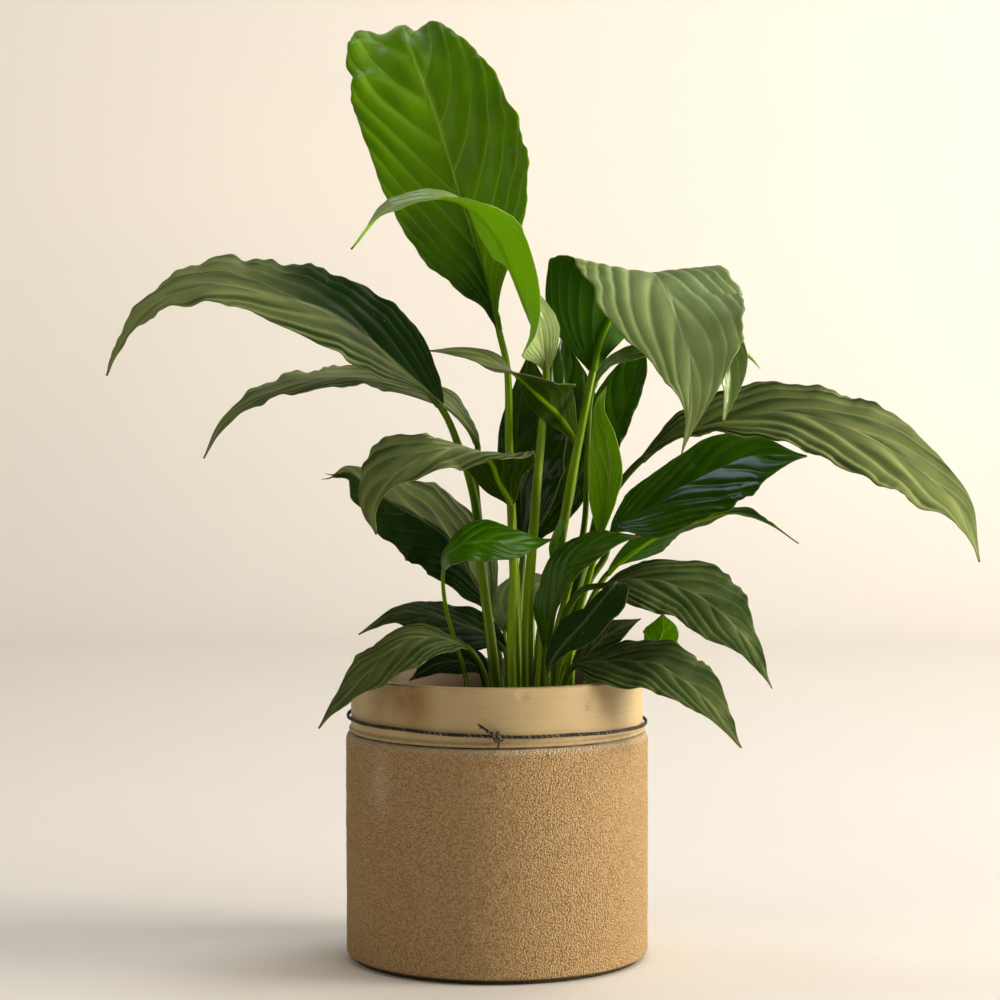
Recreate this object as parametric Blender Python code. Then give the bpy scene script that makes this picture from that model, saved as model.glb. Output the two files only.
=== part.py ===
"""Potted peace lily: a sand-cast planter with a cord round its neck, soil, and arching leaves on stalks.

Every leaf is one blade on one stalk. The two share a single smooth path that starts on the soil, turns at the
junction, and runs along the midrib to the tip. Lengths are in millimetres until a mesh is made.
"""

from dataclasses import dataclass

import bpy
import numpy as np

MM = 0.001

# Driving dimensions of the planter
POT_RADIUS = 75.0
POT_HEIGHT = 141.0
SHOULDER_HEIGHT = 112.0
NECK_RADIUS = 72.5
WALL = 6.5
FLOOR = 8.0
FOOT_HEIGHT = 2.0
FOOT_RADIUS = 71.0
SOIL_TOP = 120.0
POT_SIDES = 72

# The cord, tied round the neck a little out of level
CORD_RADIUS = 1.0
CORD_HEIGHT = 118.6
CORD_TILT = 1.6
CORD_SIDES = 6
CORD_STEPS = 96
KNOT_RADIUS = 1.6

# Leaves
CLEARANCE = 0.3
BLADE_THICKNESS = 0.7
RUFFLE_LENGTH = 22.0
RUFFLE_OFFSET = 2.1
PATH_STEPS = 24
STALK_SIDES = 6
STALK_RINGS = 9
LARGE_BLADE = 60.0
NARROW = 4.0

# Leaf colours as sRGB
FRESH = "#4f7a1c"
BRIGHT = "#6d9a1c"
OLIVE = "#4a5a2c"
PALE = "#8a9a5c"
DEEP = "#22401a"
STALK_GREEN = "#6f9420"

# Outlines: share of the blade's length, share of its half width
BROAD = (
    (0, 0.05), (0.05, 0.22), (0.14, 0.55), (0.28, 0.87), (0.43, 1.0), (0.58, 0.97),
    (0.72, 0.78), (0.84, 0.45), (0.92, 0.19), (0.97, 0.07), (1, 0.02),
)
LANCE = (
    (0, 0.07), (0.06, 0.30), (0.16, 0.66), (0.28, 0.92), (0.40, 1.0), (0.54, 0.93),
    (0.68, 0.72), (0.80, 0.44), (0.89, 0.21), (0.95, 0.09), (1, 0.02),
)
TALL = (
    (0, 0.04), (0.06, 0.12), (0.16, 0.38), (0.30, 0.74), (0.45, 0.96), (0.58, 1.0),
    (0.70, 0.92), (0.80, 0.72), (0.89, 0.42), (0.96, 0.16), (1, 0.03),
)


@dataclass(frozen=True)
class Leaf:
    """One leaf: its path from the soil to the tip, and how the blade opens on either side of it.

    foot is where the stalk stands on the soil. stalk and blade are points on the path, and the blade's first
    point is the junction. faces are the directions that the upper side looks in, evenly spaced along the blade.
    half_widths are the left and right halves, seen from above with the tip ahead, and edges are evenly spaced
    factors on them. fold is the angle in degrees
    by which both halves rise from the midrib (base, middle, tip), and droop is how much that changes by the
    margin. skew moves each half's widest point: positive is nearer to the base.
    """

    name: str
    foot: tuple
    stalk: tuple
    blade: tuple
    faces: tuple
    half_widths: tuple
    outline: tuple
    fold: tuple
    ruffle: float
    stalk_radii: tuple
    colour: str
    edges: tuple = ((1,), (1,))
    droop: tuple = (0, 0, 0)
    skew: tuple = (0, 0)


LEAVES = (
    Leaf(
        name="tall",
        foot=(11, -4),
        stalk=((10, -4, 157), (7, -4, 226), (6, -3, 256), (5, -2, 292)),
        blade=((1, 0, 310), (-7, -6, 341), (-19, -13, 379), (-30, -13, 415), (-41, -3, 444),
            (-46, 13, 458), (-49, 35, 460), (-51, 54, 454)),
        faces=((-0.5, -0.86, 0), (-0.3, -0.95, 0.1), (-0.1, -1, 0.1), (0, -0.95, 0.3), (0, 0.4, 0.9)),
        half_widths=(39, 40),
        outline=TALL,
        edges=((0.6, 1.2, 1.15, 1, 0.95, 0.93, 0.97, 0.95, 1.08, 1.3, 1.3),
            (1.1, 1.1, 1.18, 1.1, 1.04, 0.92, 0.88, 0.8, 0.8, 0.8, 0.8)),
        fold=(50, 12, 0),
        droop=(0, -8, -20),
        ruffle=1.6,
        skew=(0.05, 0.1),
        stalk_radii=(3, 2),
        colour=FRESH,
    ),
    Leaf(
        name="narrow",
        foot=(15, -14),
        stalk=((15, -15, 168), (19, -14, 227), (22, -8, 261)),
        blade=((24, -11, 291), (20, -24, 306), (13, -43, 323), (6, -58, 339), (-2, -62, 355),
            (-17, -67, 369), (-34, -70, 371), (-53, -74, 364), (-68, -75, 347)),
        faces=((-0.2, -1, 0.1), (0.3, -0.9, 0.3), (0.9, 0.3, 0.4), (0.6, 0.7, 0.5), (0.1, -0.2, 0.97),
            (-0.2, -0.45, 0.85), (-0.8, 0.3, 0.5)),
        half_widths=(16, 14),
        outline=LANCE,
        edges=((1.8, 1.6, 1.2, 1, 1, 1, 1, 1, 1.3, 1.8, 2),
            (1.8, 1.6, 1.2, 1, 1, 1, 1, 1, 1.3, 1.8, 2)),
        fold=(15, 15, 10),
        ruffle=0.6,
        stalk_radii=(3, 2.2),
        colour=FRESH,
    ),
    Leaf(
        name="left_long",
        foot=(1, -11),
        stalk=((-3, -11, 158), (-8, -12, 197), (-11, -11, 227), (-18, -8, 251)),
        blade=((-28, -5, 273), (-49, -14, 293), (-75, -26, 315), (-105, -37, 326), (-135, -46, 331),
            (-161, -51, 323), (-177, -54, 306), (-185, -56, 288)),
        faces=((0.4, -0.6, 0.6), (0.1, -0.6, 0.8), (0, -0.55, 0.85), (-0.2, -0.5, 0.8),
            (-0.8, -0.5, 0.4)),
        half_widths=(20, 33),
        outline=LANCE,
        edges=((0.6, 1.4, 1.7, 1.7, 1.5, 1.1, 0.95, 1, 0.9, 0.9, 0.9),
            (1.4, 1.4, 1.15, 1, 1.15, 1.3, 1.3, 1.1, 0.8, 1, 1)),
        fold=(25, -8, 0),
        ruffle=1.4,
        stalk_radii=(2.9, 2.1),
        colour=OLIVE,
    ),
    Leaf(
        name="left_lower",
        foot=(1, 2),
        stalk=((-3, 3, 157), (-7, 6, 196), (-10, 12, 226), (-11, 19, 241)),
        blade=((-10, 24, 254), (-23, 24, 271), (-43, 21, 281), (-68, 16, 287), (-98, 10, 284),
            (-123, 5, 274), (-136, 2, 263), (-145, 0, 247)),
        faces=((0.5, -0.3, 0.8), (0.1, -0.3, 0.95), (0, -0.25, 0.97), (-0.2, -0.35, 0.9),
            (-0.8, -0.4, 0.4)),
        half_widths=(18, 22),
        outline=LANCE,
        edges=((0.7, 0.7, 0.75, 0.8, 0.75, 0.6, 0.75, 0.6, 0.6, 1, 1.2),
            (1.3, 1.3, 1.3, 1.5, 1.7, 1.8, 1.5, 1.4, 1.1, 1.05, 1)),
        fold=(10, -8, 0),
        ruffle=1.2,
        stalk_radii=(2.6, 1.9),
        colour=OLIVE,
    ),
    Leaf(
        name="folded",
        foot=(24, -14),
        stalk=((24, -15, 158), (32, -17, 212), (38, -15, 246), (44, -11, 276)),
        blade=((47, -8, 290), (52, -3, 308), (62, -2, 326), (74, -13, 338), (82, -42, 325),
            (88, -58, 306), (91, -66, 287), (91, -69, 271), (87, -64, 251)),
        faces=((-0.3, 0.95, 0.1), (-0.35, 0.85, 0.4), (-0.08, 0.2, 0.95), (0.2, -0.7, 0.6),
            (0, -0.95, 0.3), (0, -1, 0.1), (-0.1, -1, 0)),
        half_widths=(35, 40),
        outline=BROAD,
        edges=((1.1, 1.1, 1.1, 1.15, 1.15, 1.12, 0.95, 0.85, 0.61, 0.35, 0.3),
            (1.1, 1.15, 1.2, 1.1, 1, 1.1, 1.3, 1.35, 1.5, 0.6, 0.3)),
        fold=(20, 0, 5),
        ruffle=1.2,
        skew=(-0.1, 0.2),
        stalk_radii=(3, 2.3),
        colour=PALE,
    ),
    Leaf(
        name="right_long",
        foot=(32, -4),
        stalk=((34, -4, 157), (46, -5, 207), (58, -3, 231)),
        blade=((71, 0, 246), (84, -5, 256), (99, -9, 262), (118, -16, 267), (140, -22, 270),
            (163, -28, 265), (187, -33, 254), (210, -36, 237), (224, -37, 223), (233, -35, 198)),
        faces=((-0.5, -0.5, 0.7), (0, -0.65, 0.76), (0.1, -0.65, 0.75), (0.3, -0.6, 0.7),
            (0.7, -0.6, 0.3)),
        half_widths=(30, 22),
        outline=BROAD,
        edges=((0.8, 0.85, 0.88, 0.82, 0.76, 0.87, 1, 0.92, 0.97, 1.1, 1.2),
            (0.6, 0.5, 0.45, 0.9, 1, 1.08, 1.25, 1.25, 1.5, 1.3, 0.6)),
        fold=(20, -6, 0),
        ruffle=1.4,
        stalk_radii=(2.8, 2.1),
        colour=OLIVE,
    ),
    Leaf(
        name="right_glossy",
        foot=(30, -10),
        stalk=((36, -13, 163), (45, -14, 187), (53, -12, 199)),
        blade=((57, -10, 212), (71, -5, 220), (88, 1, 231), (108, 6, 241), (127, 9, 248),
            (154, 6, 248)),
        faces=((-0.5, -0.75, 0.3), (-0.3, -0.75, 0.6), (0, -0.8, 0.6)),
        half_widths=(18, 24),
        outline=LANCE,
        edges=((1.2, 1.2, 1, 0.85, 0.85, 1, 1.2, 1.3, 1.3, 1.3, 1.3),
            (1.7, 1.6, 1.4, 1.2, 1.2, 1.28, 1.3, 1.42, 1.8, 1.8, 1)),
        fold=(15, 8, 10),
        ruffle=1.3,
        stalk_radii=(2.4, 1.9),
        colour=DEEP,
    ),
    Leaf(
        name="right_light",
        foot=(35, 5),
        stalk=((39, 8, 156), (47, 9, 176)),
        blade=((55, 10, 189), (67, 12, 199), (84, 17, 209), (102, 20, 215), (119, 20, 219),
            (136, 18, 214), (151, 15, 204)),
        faces=((-0.5, 0.6, 0.6), (-0.3, 0.6, 0.75), (-0.1, 0.3, 0.95), (0.1, 0.2, 0.95),
            (0.3, -0.1, 0.9)),
        half_widths=(15, 15),
        outline=LANCE,
        edges=((0.5, 0.8, 1.3, 1.6, 1.6, 1.4, 1.2, 1, 1, 1, 1),
            (1, 1, 0.93, 0.6, 0.6, 0.7, 0.85, 1.05, 1.3, 1.3, 1.3)),
        fold=(10, 5, 10),
        ruffle=0.8,
        stalk_radii=(2.3, 1.7),
        colour=BRIGHT,
    ),
    Leaf(
        name="inner_arched",
        foot=(25, -26),
        stalk=((24, -24, 135),),
        blade=((24, -23, 152), (25, -28, 168), (29, -34, 183), (34, -40, 196), (44, -47, 205),
            (55, -53, 210), (68, -57, 212)),
        faces=((-0.6, -0.8, 0), (-0.5, -0.8, 0.3), (-0.3, -0.7, 0.6), (-0.2, -0.6, 0.8)),
        half_widths=(10, 13),
        outline=LANCE,
        edges=((0.8, 0.9, 1.08, 1.08, 1.1, 1.13, 1.28, 1.35, 1.6, 1.8, 1.8),
            (0.6, 0.5, 0.4, 0.3, 0.35, 0.6, 0.93, 1.3, 1.7, 1.8, 1.7)),
        fold=(15, 8, 5),
        ruffle=1,
        stalk_radii=(2.1, 1.7),
        colour=DEEP,
    ),
    Leaf(
        name="right_ribbed",
        foot=(30, -20),
        stalk=((29, -22, 149), (34, -29, 174), (42, -34, 185)),
        blade=((52, -37, 187), (62, -41, 190), (74, -44, 190), (87, -47, 187), (99, -49, 181),
            (112, -50, 170), (122, -48, 158), (132, -46, 138)),
        faces=((0, -0.7, 0.7), (0.1, -0.7, 0.7), (0.4, -0.75, 0.55)),
        half_widths=(16, 18),
        outline=BROAD,
        edges=((1, 1, 1, 1.1, 1.35, 1.5, 1.35, 0.95, 0.65, 0.6, 0.6),
            (1.4, 1.9, 1.6, 1.25, 1, 1, 1, 0.75, 0.72, 0.62, 0.5)),
        fold=(15, -6, 0),
        ruffle=1.4,
        stalk_radii=(2.3, 1.8),
        colour=OLIVE,
    ),
    Leaf(
        name="right_rim",
        foot=(30, -30),
        stalk=((32, -29, 136),),
        blade=((37, -32, 147), (49, -38, 150), (62, -44, 151), (76, -48, 150), (88, -50, 143),
            (101, -51, 132), (117, -51, 110)),
        faces=((0, -0.6, 0.8), (0.1, -0.6, 0.8), (0.5, -0.65, 0.55)),
        half_widths=(18, 17),
        outline=LANCE,
        edges=((0.5, 0.5, 0.8, 0.9, 1, 1.2, 1.35, 1.4, 1.3, 1.3, 1.3),
            (1.8, 1.8, 1.45, 1.25, 1.05, 0.92, 0.93, 0.85, 0.85, 0.85, 0.85)),
        fold=(15, -6, 0),
        ruffle=1.2,
        stalk_radii=(2.2, 1.8),
        colour=OLIVE,
    ),
    Leaf(
        name="inner_droop",
        foot=(26, -33),
        stalk=((29, -34, 138), (33, -38, 153), (44, -42, 169), (53, -47, 182)),
        blade=((57, -54, 189), (55, -61, 188), (48, -64, 180), (40, -62, 170), (32, -59, 161),
            (26, -55, 152), (24, -53, 144)),
        faces=((-0.2, -0.6, 0.8), (-0.2, -0.8, 0.6), (-0.2, -0.9, 0.4)),
        half_widths=(13, 13),
        outline=BROAD,
        edges=((1.4, 1.4, 1.25, 0.9, 0.8, 0.77, 0.63, 0.45, 0.45, 0.45, 0.45),
            (0.5, 0.5, 0.5, 0.45, 0.5, 0.85, 1, 0.88, 0.8, 0.8, 0.8)),
        fold=(10, -10, 5),
        droop=(0, -20, 0),
        ruffle=0.6,
        stalk_radii=(1.8, 1.5),
        colour=DEEP,
    ),
    Leaf(
        name="inner_olive",
        foot=(35, -23),
        stalk=((36, -24, 135),),
        blade=((37, -24, 146), (44, -24, 152), (53, -24, 161), (62, -25, 166), (70, -27, 170)),
        faces=((-0.3, -0.9, 0.3),),
        half_widths=(8, 8),
        outline=LANCE,
        fold=(10, 5, 5),
        ruffle=0.4,
        stalk_radii=(1.4, 1.1),
        colour=OLIVE,
    ),
    Leaf(
        name="backlit",
        foot=(38, 19),
        stalk=((44, 20, 131), (53, 20, 147), (64, 20, 152)),
        blade=((73, 20, 149), (80, 19, 153), (83, 18, 160), (83, 16, 169)),
        faces=((0.2, 0.9, 0.2),),
        half_widths=(9, 9),
        outline=BROAD,
        fold=(10, 5, 5),
        ruffle=0.5,
        stalk_radii=(1.6, 1.1),
        colour=BRIGHT,
    ),
    Leaf(
        name="left_ribbed",
        foot=(8, -22),
        stalk=((7, -22, 159), (8, -25, 198), (7, -26, 214)),
        blade=((7, -26, 225), (1, -26, 236), (-3, -30, 246), (-13, -44, 253), (-29, -57, 253),
            (-42, -63, 246), (-53, -66, 236), (-58, -64, 225), (-57, -62, 213)),
        faces=((0.2, 0.95, 0.2), (0.3, 0.8, 0.5), (0.1, -0.1, 1), (-0.1, -0.55, 0.85),
            (-0.3, -0.6, 0.7), (-0.5, -0.7, 0.4), (-0.5, -0.8, 0.1)),
        half_widths=(33, 24),
        outline=BROAD,
        edges=((0.8, 0.8, 0.8, 0.9, 0.75, 0.6, 0.65, 0.6, 0.4, 0.35, 0.3),
            (1, 1, 1, 1.2, 0.85, 0.7, 1.2, 1.35, 1.4, 1.4, 1.4)),
        fold=(15, -4, 0),
        ruffle=1.6,
        skew=(0.15, 0),
        stalk_radii=(2.7, 1.9),
        colour=OLIVE,
    ),
    Leaf(
        name="left_dark",
        foot=(3, 17),
        stalk=((1, 23, 145),),
        blade=((-4, 23, 169), (-12, 17, 186), (-23, 10, 205), (-35, 5, 215), (-47, 0, 222),
            (-62, -8, 232), (-73, -16, 241), (-80, -20, 239)),
        faces=((0.3, -0.75, 0.6),),
        half_widths=(23, 36),
        outline=BROAD,
        edges=((0.85, 0.84, 0.82, 0.95, 1, 0.96, 0.96, 0.96, 0.95, 1.4, 1.8),
            (1.6, 1.4, 1, 0.8, 0.84, 0.88, 0.68, 0.6, 0.6, 0.6, 0.6)),
        fold=(-5, -14, -5),
        ruffle=1.3,
        stalk_radii=(2.4, 1.9),
        colour=DEEP,
    ),
    Leaf(
        name="small_bright",
        foot=(-14, -25),
        stalk=((-15, -24, 140), (-20, -24, 157), (-25, -31, 177)),
        blade=((-26, -39, 193), (-24, -45, 202), (-17, -49, 207), (-6, -49, 209), (9, -48, 208),
            (20, -46, 208), (27, -47, 210)),
        faces=((-0.6, -0.7, 0.3), (-0.2, -0.75, 0.65), (0.1, -0.75, 0.65)),
        half_widths=(12, 12),
        outline=BROAD,
        edges=((0.6, 0.6, 0.6, 0.85, 1.15, 1.3, 1, 0.8, 0.77, 0.73, 0.73),
            (0.9, 0.9, 0.9, 0.88, 0.85, 0.9, 0.93, 0.92, 0.78, 0.77, 0.77)),
        fold=(10, 0, 5),
        droop=(0, -15, 0),
        ruffle=0.6,
        skew=(-0.08, 0),
        stalk_radii=(1.3, 1.1),
        colour=BRIGHT,
    ),
    Leaf(
        name="left_rim",
        foot=(-3, -24),
        stalk=((-7, -26, 144),),
        blade=((-14, -31, 156), (-25, -38, 161), (-41, -47, 162), (-53, -51, 155), (-65, -54, 143),
            (-76, -56, 131), (-85, -56, 120)),
        faces=((0, -0.6, 0.8), (-0.3, -0.6, 0.75), (-0.5, -0.7, 0.5)),
        half_widths=(14, 12),
        outline=LANCE,
        edges=((1.2, 1.2, 1.2, 1.3, 1.25, 1.2, 1.1, 0.8, 0.75, 0.5, 0.4),
            (0.7, 0.7, 0.93, 0.95, 0.88, 1.05, 1.4, 1.35, 1.15, 1.5, 1.6)),
        fold=(12, -8, 0),
        ruffle=1.1,
        stalk_radii=(2.4, 1.8),
        colour=OLIVE,
    ),
    Leaf(
        name="left_behind",
        foot=(7, 7),
        stalk=((6, 11, 131),),
        blade=((4, 14, 150), (-4, 14, 158), (-18, 9, 164), (-36, 0, 170), (-50, -7, 171),
            (-60, -11, 166), (-68, -14, 161)),
        faces=((0.1, -0.7, 0.7), (0, -0.65, 0.75), (-0.3, -0.7, 0.6)),
        half_widths=(13, 11),
        outline=LANCE,
        edges=((1.2, 1.3, 1.35, 1.25, 1.15, 1.14, 1.13, 1.13, 1.05, 0.8, 0.8),
            (1.2, 1.4, 1.45, 1.2, 1.07, 1.08, 0.92, 0.66, 0.6, 0.6, 0.6)),
        fold=(8, -6, 0),
        ruffle=1,
        stalk_radii=(2.2, 1.6),
        colour=DEEP,
    ),
    Leaf(
        name="inside_left",
        foot=(-5, -18),
        stalk=(),
        blade=((-5, -18, 141), (-14, -14, 147), (-28, -15, 147), (-43, -20, 139)),
        faces=((0, -0.6, 0.8),),
        half_widths=(10, 10),
        outline=LANCE,
        fold=(15, 5, 5),
        ruffle=0.7,
        stalk_radii=(1.8, 1.3),
        colour=DEEP,
    ),
    Leaf(
        name="back_left",
        foot=(13, 13),
        stalk=((11, 14, 166),),
        blade=((13, 18, 202), (12, 25, 225), (10, 33, 250), (12, 42, 275), (17, 48, 302)),
        faces=((-0.25, -0.95, 0.1),),
        half_widths=(13, 27),
        outline=BROAD,
        edges=((0.75, 0.75, 0.75, 0.75, 0.75, 0.74, 0.74, 0.68, 0.62, 0.7, 0.7), (1,)),
        fold=(20, 10, 5),
        ruffle=1.2,
        stalk_radii=(2.4, 1.9),
        colour=DEEP,
    ),
    Leaf(
        name="back_mid",
        foot=(18, 19),
        stalk=((17, 24, 165),),
        blade=((18, 32, 202), (26, 41, 221), (36, 53, 246), (42, 64, 275), (46, 67, 303)),
        faces=((0.3, -0.95, 0.1),),
        half_widths=(20, 22),
        outline=BROAD,
        fold=(20, 10, 5),
        ruffle=1.2,
        stalk_radii=(2.4, 1.9),
        colour=DEEP,
    ),
    Leaf(
        name="back_right",
        foot=(31, 12),
        stalk=((38, 15, 166), (47, 20, 205)),
        blade=((53, 23, 233), (57, 30, 250), (64, 38, 270), (70, 42, 288), (75, 42, 307)),
        faces=((-0.2, -0.95, 0.1),),
        half_widths=(16, 11),
        outline=BROAD,
        edges=((1,), (0.55, 0.55, 0.53, 0.53, 0.53, 0.56, 0.62, 0.68, 0.95, 1.1, 1.1)),
        fold=(15, 10, 5),
        ruffle=1.2,
        stalk_radii=(2.3, 1.8),
        colour=DEEP,
    ),
    Leaf(
        name="centre_under",
        foot=(20, -3),
        stalk=((21, -3, 157), (31, -1, 206), (38, 3, 236)),
        blade=((39, 3, 253), (32, -6, 266), (21, -30, 277), (8, -42, 289), (-5, -46, 297),
            (-18, -48, 300), (-32, -48, 300)),
        faces=((-0.8, 0.55, 0.3), (-0.5, 0.7, 0.5), (0.1, 0.1, 0.95), (-0.2, -0.6, 0.75),
            (-0.2, -0.8, 0.5)),
        half_widths=(17, 8),
        outline=LANCE,
        fold=(10, 10, 10),
        ruffle=0.8,
        stalk_radii=(2.4, 1.8),
        colour=OLIVE,
    ),
    Leaf(
        name="rolled",
        foot=(34, -16),
        stalk=((37, -20, 159), (45, -23, 191)),
        blade=((50, -25, 208), (53, -25, 225), (55, -26, 242), (53, -28, 259), (50, -29, 274),
            (53, -29, 283)),
        faces=((-0.3, -0.95, 0),),
        half_widths=(12, 12),
        outline=LANCE,
        fold=(60, 35, 50),
        droop=(0, 20, 0),
        ruffle=0.5,
        stalk_radii=(2.2, 1.7),
        colour=BRIGHT,
    ),
    Leaf(
        name="behind_fold",
        foot=(26, -3),
        stalk=((29, 3, 157), (43, 5, 211), (45, 6, 251)),
        blade=((48, 8, 282), (55, 8, 293), (71, -2, 299), (95, -16, 308), (112, -29, 308),
            (118, -35, 296), (115, -38, 280), (110, -40, 266)),
        faces=((-0.4, -0.6, 0.6), (-0.2, -0.7, 0.7), (0.2, -0.7, 0.7), (0.8, -0.6, 0)),
        half_widths=(13, 13),
        outline=LANCE,
        fold=(20, 20, 30),
        ruffle=0.9,
        stalk_radii=(2, 1.5),
        colour=FRESH,
    ),
    Leaf(
        name="young_spear",
        foot=(20, -21),
        stalk=((20, -21, 134), (22, -21, 159), (25, -23, 183)),
        blade=((27, -23, 197), (29, -24, 205), (31, -25, 213), (31, -26, 221)),
        faces=((-0.2, -0.95, 0),),
        half_widths=(4, 4),
        outline=LANCE,
        fold=(30, 30, 30),
        ruffle=0,
        stalk_radii=(1.8, 1.4),
        colour=BRIGHT,
    ),
    Leaf(
        name="back_pale",
        foot=(7, 25),
        stalk=((5, 27, 144),),
        blade=((4, 30, 158), (7, 37, 172), (16, 43, 180), (25, 45, 182), (33, 46, 181)),
        faces=((-0.3, -0.7, 0.6),),
        half_widths=(12, 12),
        outline=LANCE,
        fold=(10, 5, 5),
        ruffle=0.6,
        stalk_radii=(1.8, 1.3),
        colour=PALE,
    ),
)


def unit(vectors):
    """The vectors scaled to length 1."""
    return vectors / np.maximum(np.linalg.norm(vectors, axis=-1, keepdims=True), 1e-12)


def smooth_curve(points, steps=PATH_STEPS):
    """A centripetal Catmull-Rom curve through the points, with this many steps between two of them."""
    p = np.asarray(points, float)
    knots = np.concatenate([[0], np.cumsum(np.linalg.norm(np.diff(p, axis=0), axis=1) ** 0.5)])
    padded = np.vstack([2 * p[0] - p[1], p, 2 * p[-1] - p[-2]])
    padded_knots = np.concatenate([[2 * knots[0] - knots[1]], knots, [2 * knots[-1] - knots[-2]]])
    gaps = np.diff(padded_knots)[:, None]
    slopes = np.diff(padded, axis=0) / gaps
    tangents = (slopes[:-1] * gaps[1:] + slopes[1:] * gaps[:-1]) / (gaps[:-1] + gaps[1:])
    span = np.diff(knots)[:, None, None]
    u = (np.arange(steps) / steps)[None, :, None]
    start = (2 * u**3 - 3 * u**2 + 1) * p[:-1, None] + (u**3 - 2 * u**2 + u) * tangents[:-1, None] * span
    end = (3 * u**2 - 2 * u**3) * p[1:, None] + (u**3 - u**2) * tangents[1:, None] * span
    return np.vstack([(start + end).reshape(-1, 3), p[-1:]])


def lengths_along(line):
    """The distance from the line's start to each of its points."""
    return np.concatenate([[0], np.cumsum(np.linalg.norm(np.diff(line, axis=0), axis=1))])


def stations(line, start, stop, count):
    """Evenly spaced points on the line between two distances, with the line's direction at each."""
    length = lengths_along(line)
    wanted = np.linspace(start, stop, count)
    direction = unit(np.gradient(line, length, axis=0))
    points = np.stack([np.interp(wanted, length, line[:, axis]) for axis in range(3)], -1)
    tangents = np.stack([np.interp(wanted, length, direction[:, axis]) for axis in range(3)], -1)
    return points, unit(tangents)


def along(values, t):
    """Evenly spaced values, or vectors, read at each share t of the blade's length."""
    table = np.asarray(values, float)
    if len(table) == 1:
        return np.repeat(table, len(t), axis=0)
    places = np.linspace(0, 1, len(table))
    if table.ndim == 1:
        return np.interp(t, places, table)
    return np.stack([np.interp(t, places, table[:, axis]) for axis in range(3)], -1)


def outline_width(outline, t):
    """The outline's share of the half width at each share t of the length."""
    flat = np.column_stack([np.asarray(outline, float), np.zeros(len(outline))])
    fine = smooth_curve(flat, 12)
    return np.interp(t, fine[:, 0], fine[:, 1])


def leaf_path(leaf):
    """The whole path in fine steps, and the length of its stalk."""
    foot = (leaf.foot[0], leaf.foot[1], SOIL_TOP + CLEARANCE)
    line = smooth_curve((foot,) + leaf.stalk + leaf.blade)
    junction = PATH_STEPS * (1 + len(leaf.stalk))
    return line, lengths_along(line)[junction]


def blade_grid(leaf, rows, half_columns):
    """The blade's middle surface: rows from the junction to the tip, columns from left to right."""
    line, stalk_length = leaf_path(leaf)
    blade_length = lengths_along(line)[-1] - stalk_length
    t = np.linspace(0, 1, rows)
    midrib, tangent = stations(line, stalk_length, stalk_length + blade_length, rows)
    facing = along(unit(np.asarray(leaf.faces, float)), t)
    normal = unit(facing - (facing * tangent).sum(-1, keepdims=True) * tangent)
    side = np.cross(tangent, normal)
    across = np.linspace(-1, 1, 2 * half_columns + 1)[None]
    from_midrib = np.abs(across)
    lean = np.sin(np.pi * t)
    left = outline_width(leaf.outline, t + leaf.skew[0] * lean) * leaf.half_widths[0] * along(leaf.edges[0], t)
    right = outline_width(leaf.outline, t + leaf.skew[1] * lean) * leaf.half_widths[1] * along(leaf.edges[1], t)
    # The half's slope runs evenly from the fold angle to the margin's, so its section is an arc. Where the
    # blade is narrow, at its base and tip, it flattens.
    flatten = (np.minimum(left, right) / NARROW).clip(0, 1)[:, None]
    first = np.radians(along(leaf.fold, t))[:, None] * flatten
    change = np.radians(along(leaf.droop, t))[:, None] * flatten + 1e-6
    outward = (np.sin(first + change * from_midrib) - np.sin(first)) / change
    upward = (np.cos(first) - np.cos(first + change * from_midrib)) / change
    half_width = np.where(across < 0, left[:, None], right[:, None])
    turns = 2 * np.pi * t[:, None] * blade_length / RUFFLE_LENGTH
    swell = from_midrib**2 * np.sqrt(lean.clip(0))[:, None]
    ruffle = leaf.ruffle * swell * np.sin(turns + np.where(across < 0, 0, RUFFLE_OFFSET))
    outward = outward * half_width * np.sign(across)
    upward = upward * half_width + ruffle
    return midrib[:, None] + outward[..., None] * side[:, None] + upward[..., None] * normal[:, None]


def thick_sheet(grid, thickness):
    """A closed sheet of this thickness around a grid of points: its points and faces."""
    normal = unit(np.cross(np.gradient(grid, axis=1), np.gradient(grid, axis=0)))
    offset = normal * thickness / 2
    points = np.vstack([(grid + offset).reshape(-1, 3), (grid - offset).reshape(-1, 3)])
    rows, columns = grid.shape[:2]
    index = np.arange(rows * columns).reshape(rows, columns)
    # Both sides split each quad along its shorter diagonal, so the two stay parallel where the blade twists.
    a, b, c, d = index[:-1, :-1], index[:-1, 1:], index[1:, 1:], index[1:, :-1]
    middle = grid.reshape(-1, 3)
    cut_ac = np.linalg.norm(middle[a] - middle[c], axis=-1) <= np.linalg.norm(middle[b] - middle[d], axis=-1)
    first = np.stack([a, b, np.where(cut_ac, c, d)], -1).reshape(-1, 3)
    second = np.stack([np.where(cut_ac, a, b), c, d], -1).reshape(-1, 3)
    upper = np.vstack([first, second])
    border = np.concatenate([index[0, :], index[1:, -1], index[-1, -2::-1], index[-2:0:-1, 0]])
    following = np.roll(border, -1)
    below = rows * columns
    edge = np.column_stack([border, border + below, following + below, following])
    return points, [*upper, *(upper[:, ::-1] + below), *edge]


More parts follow.
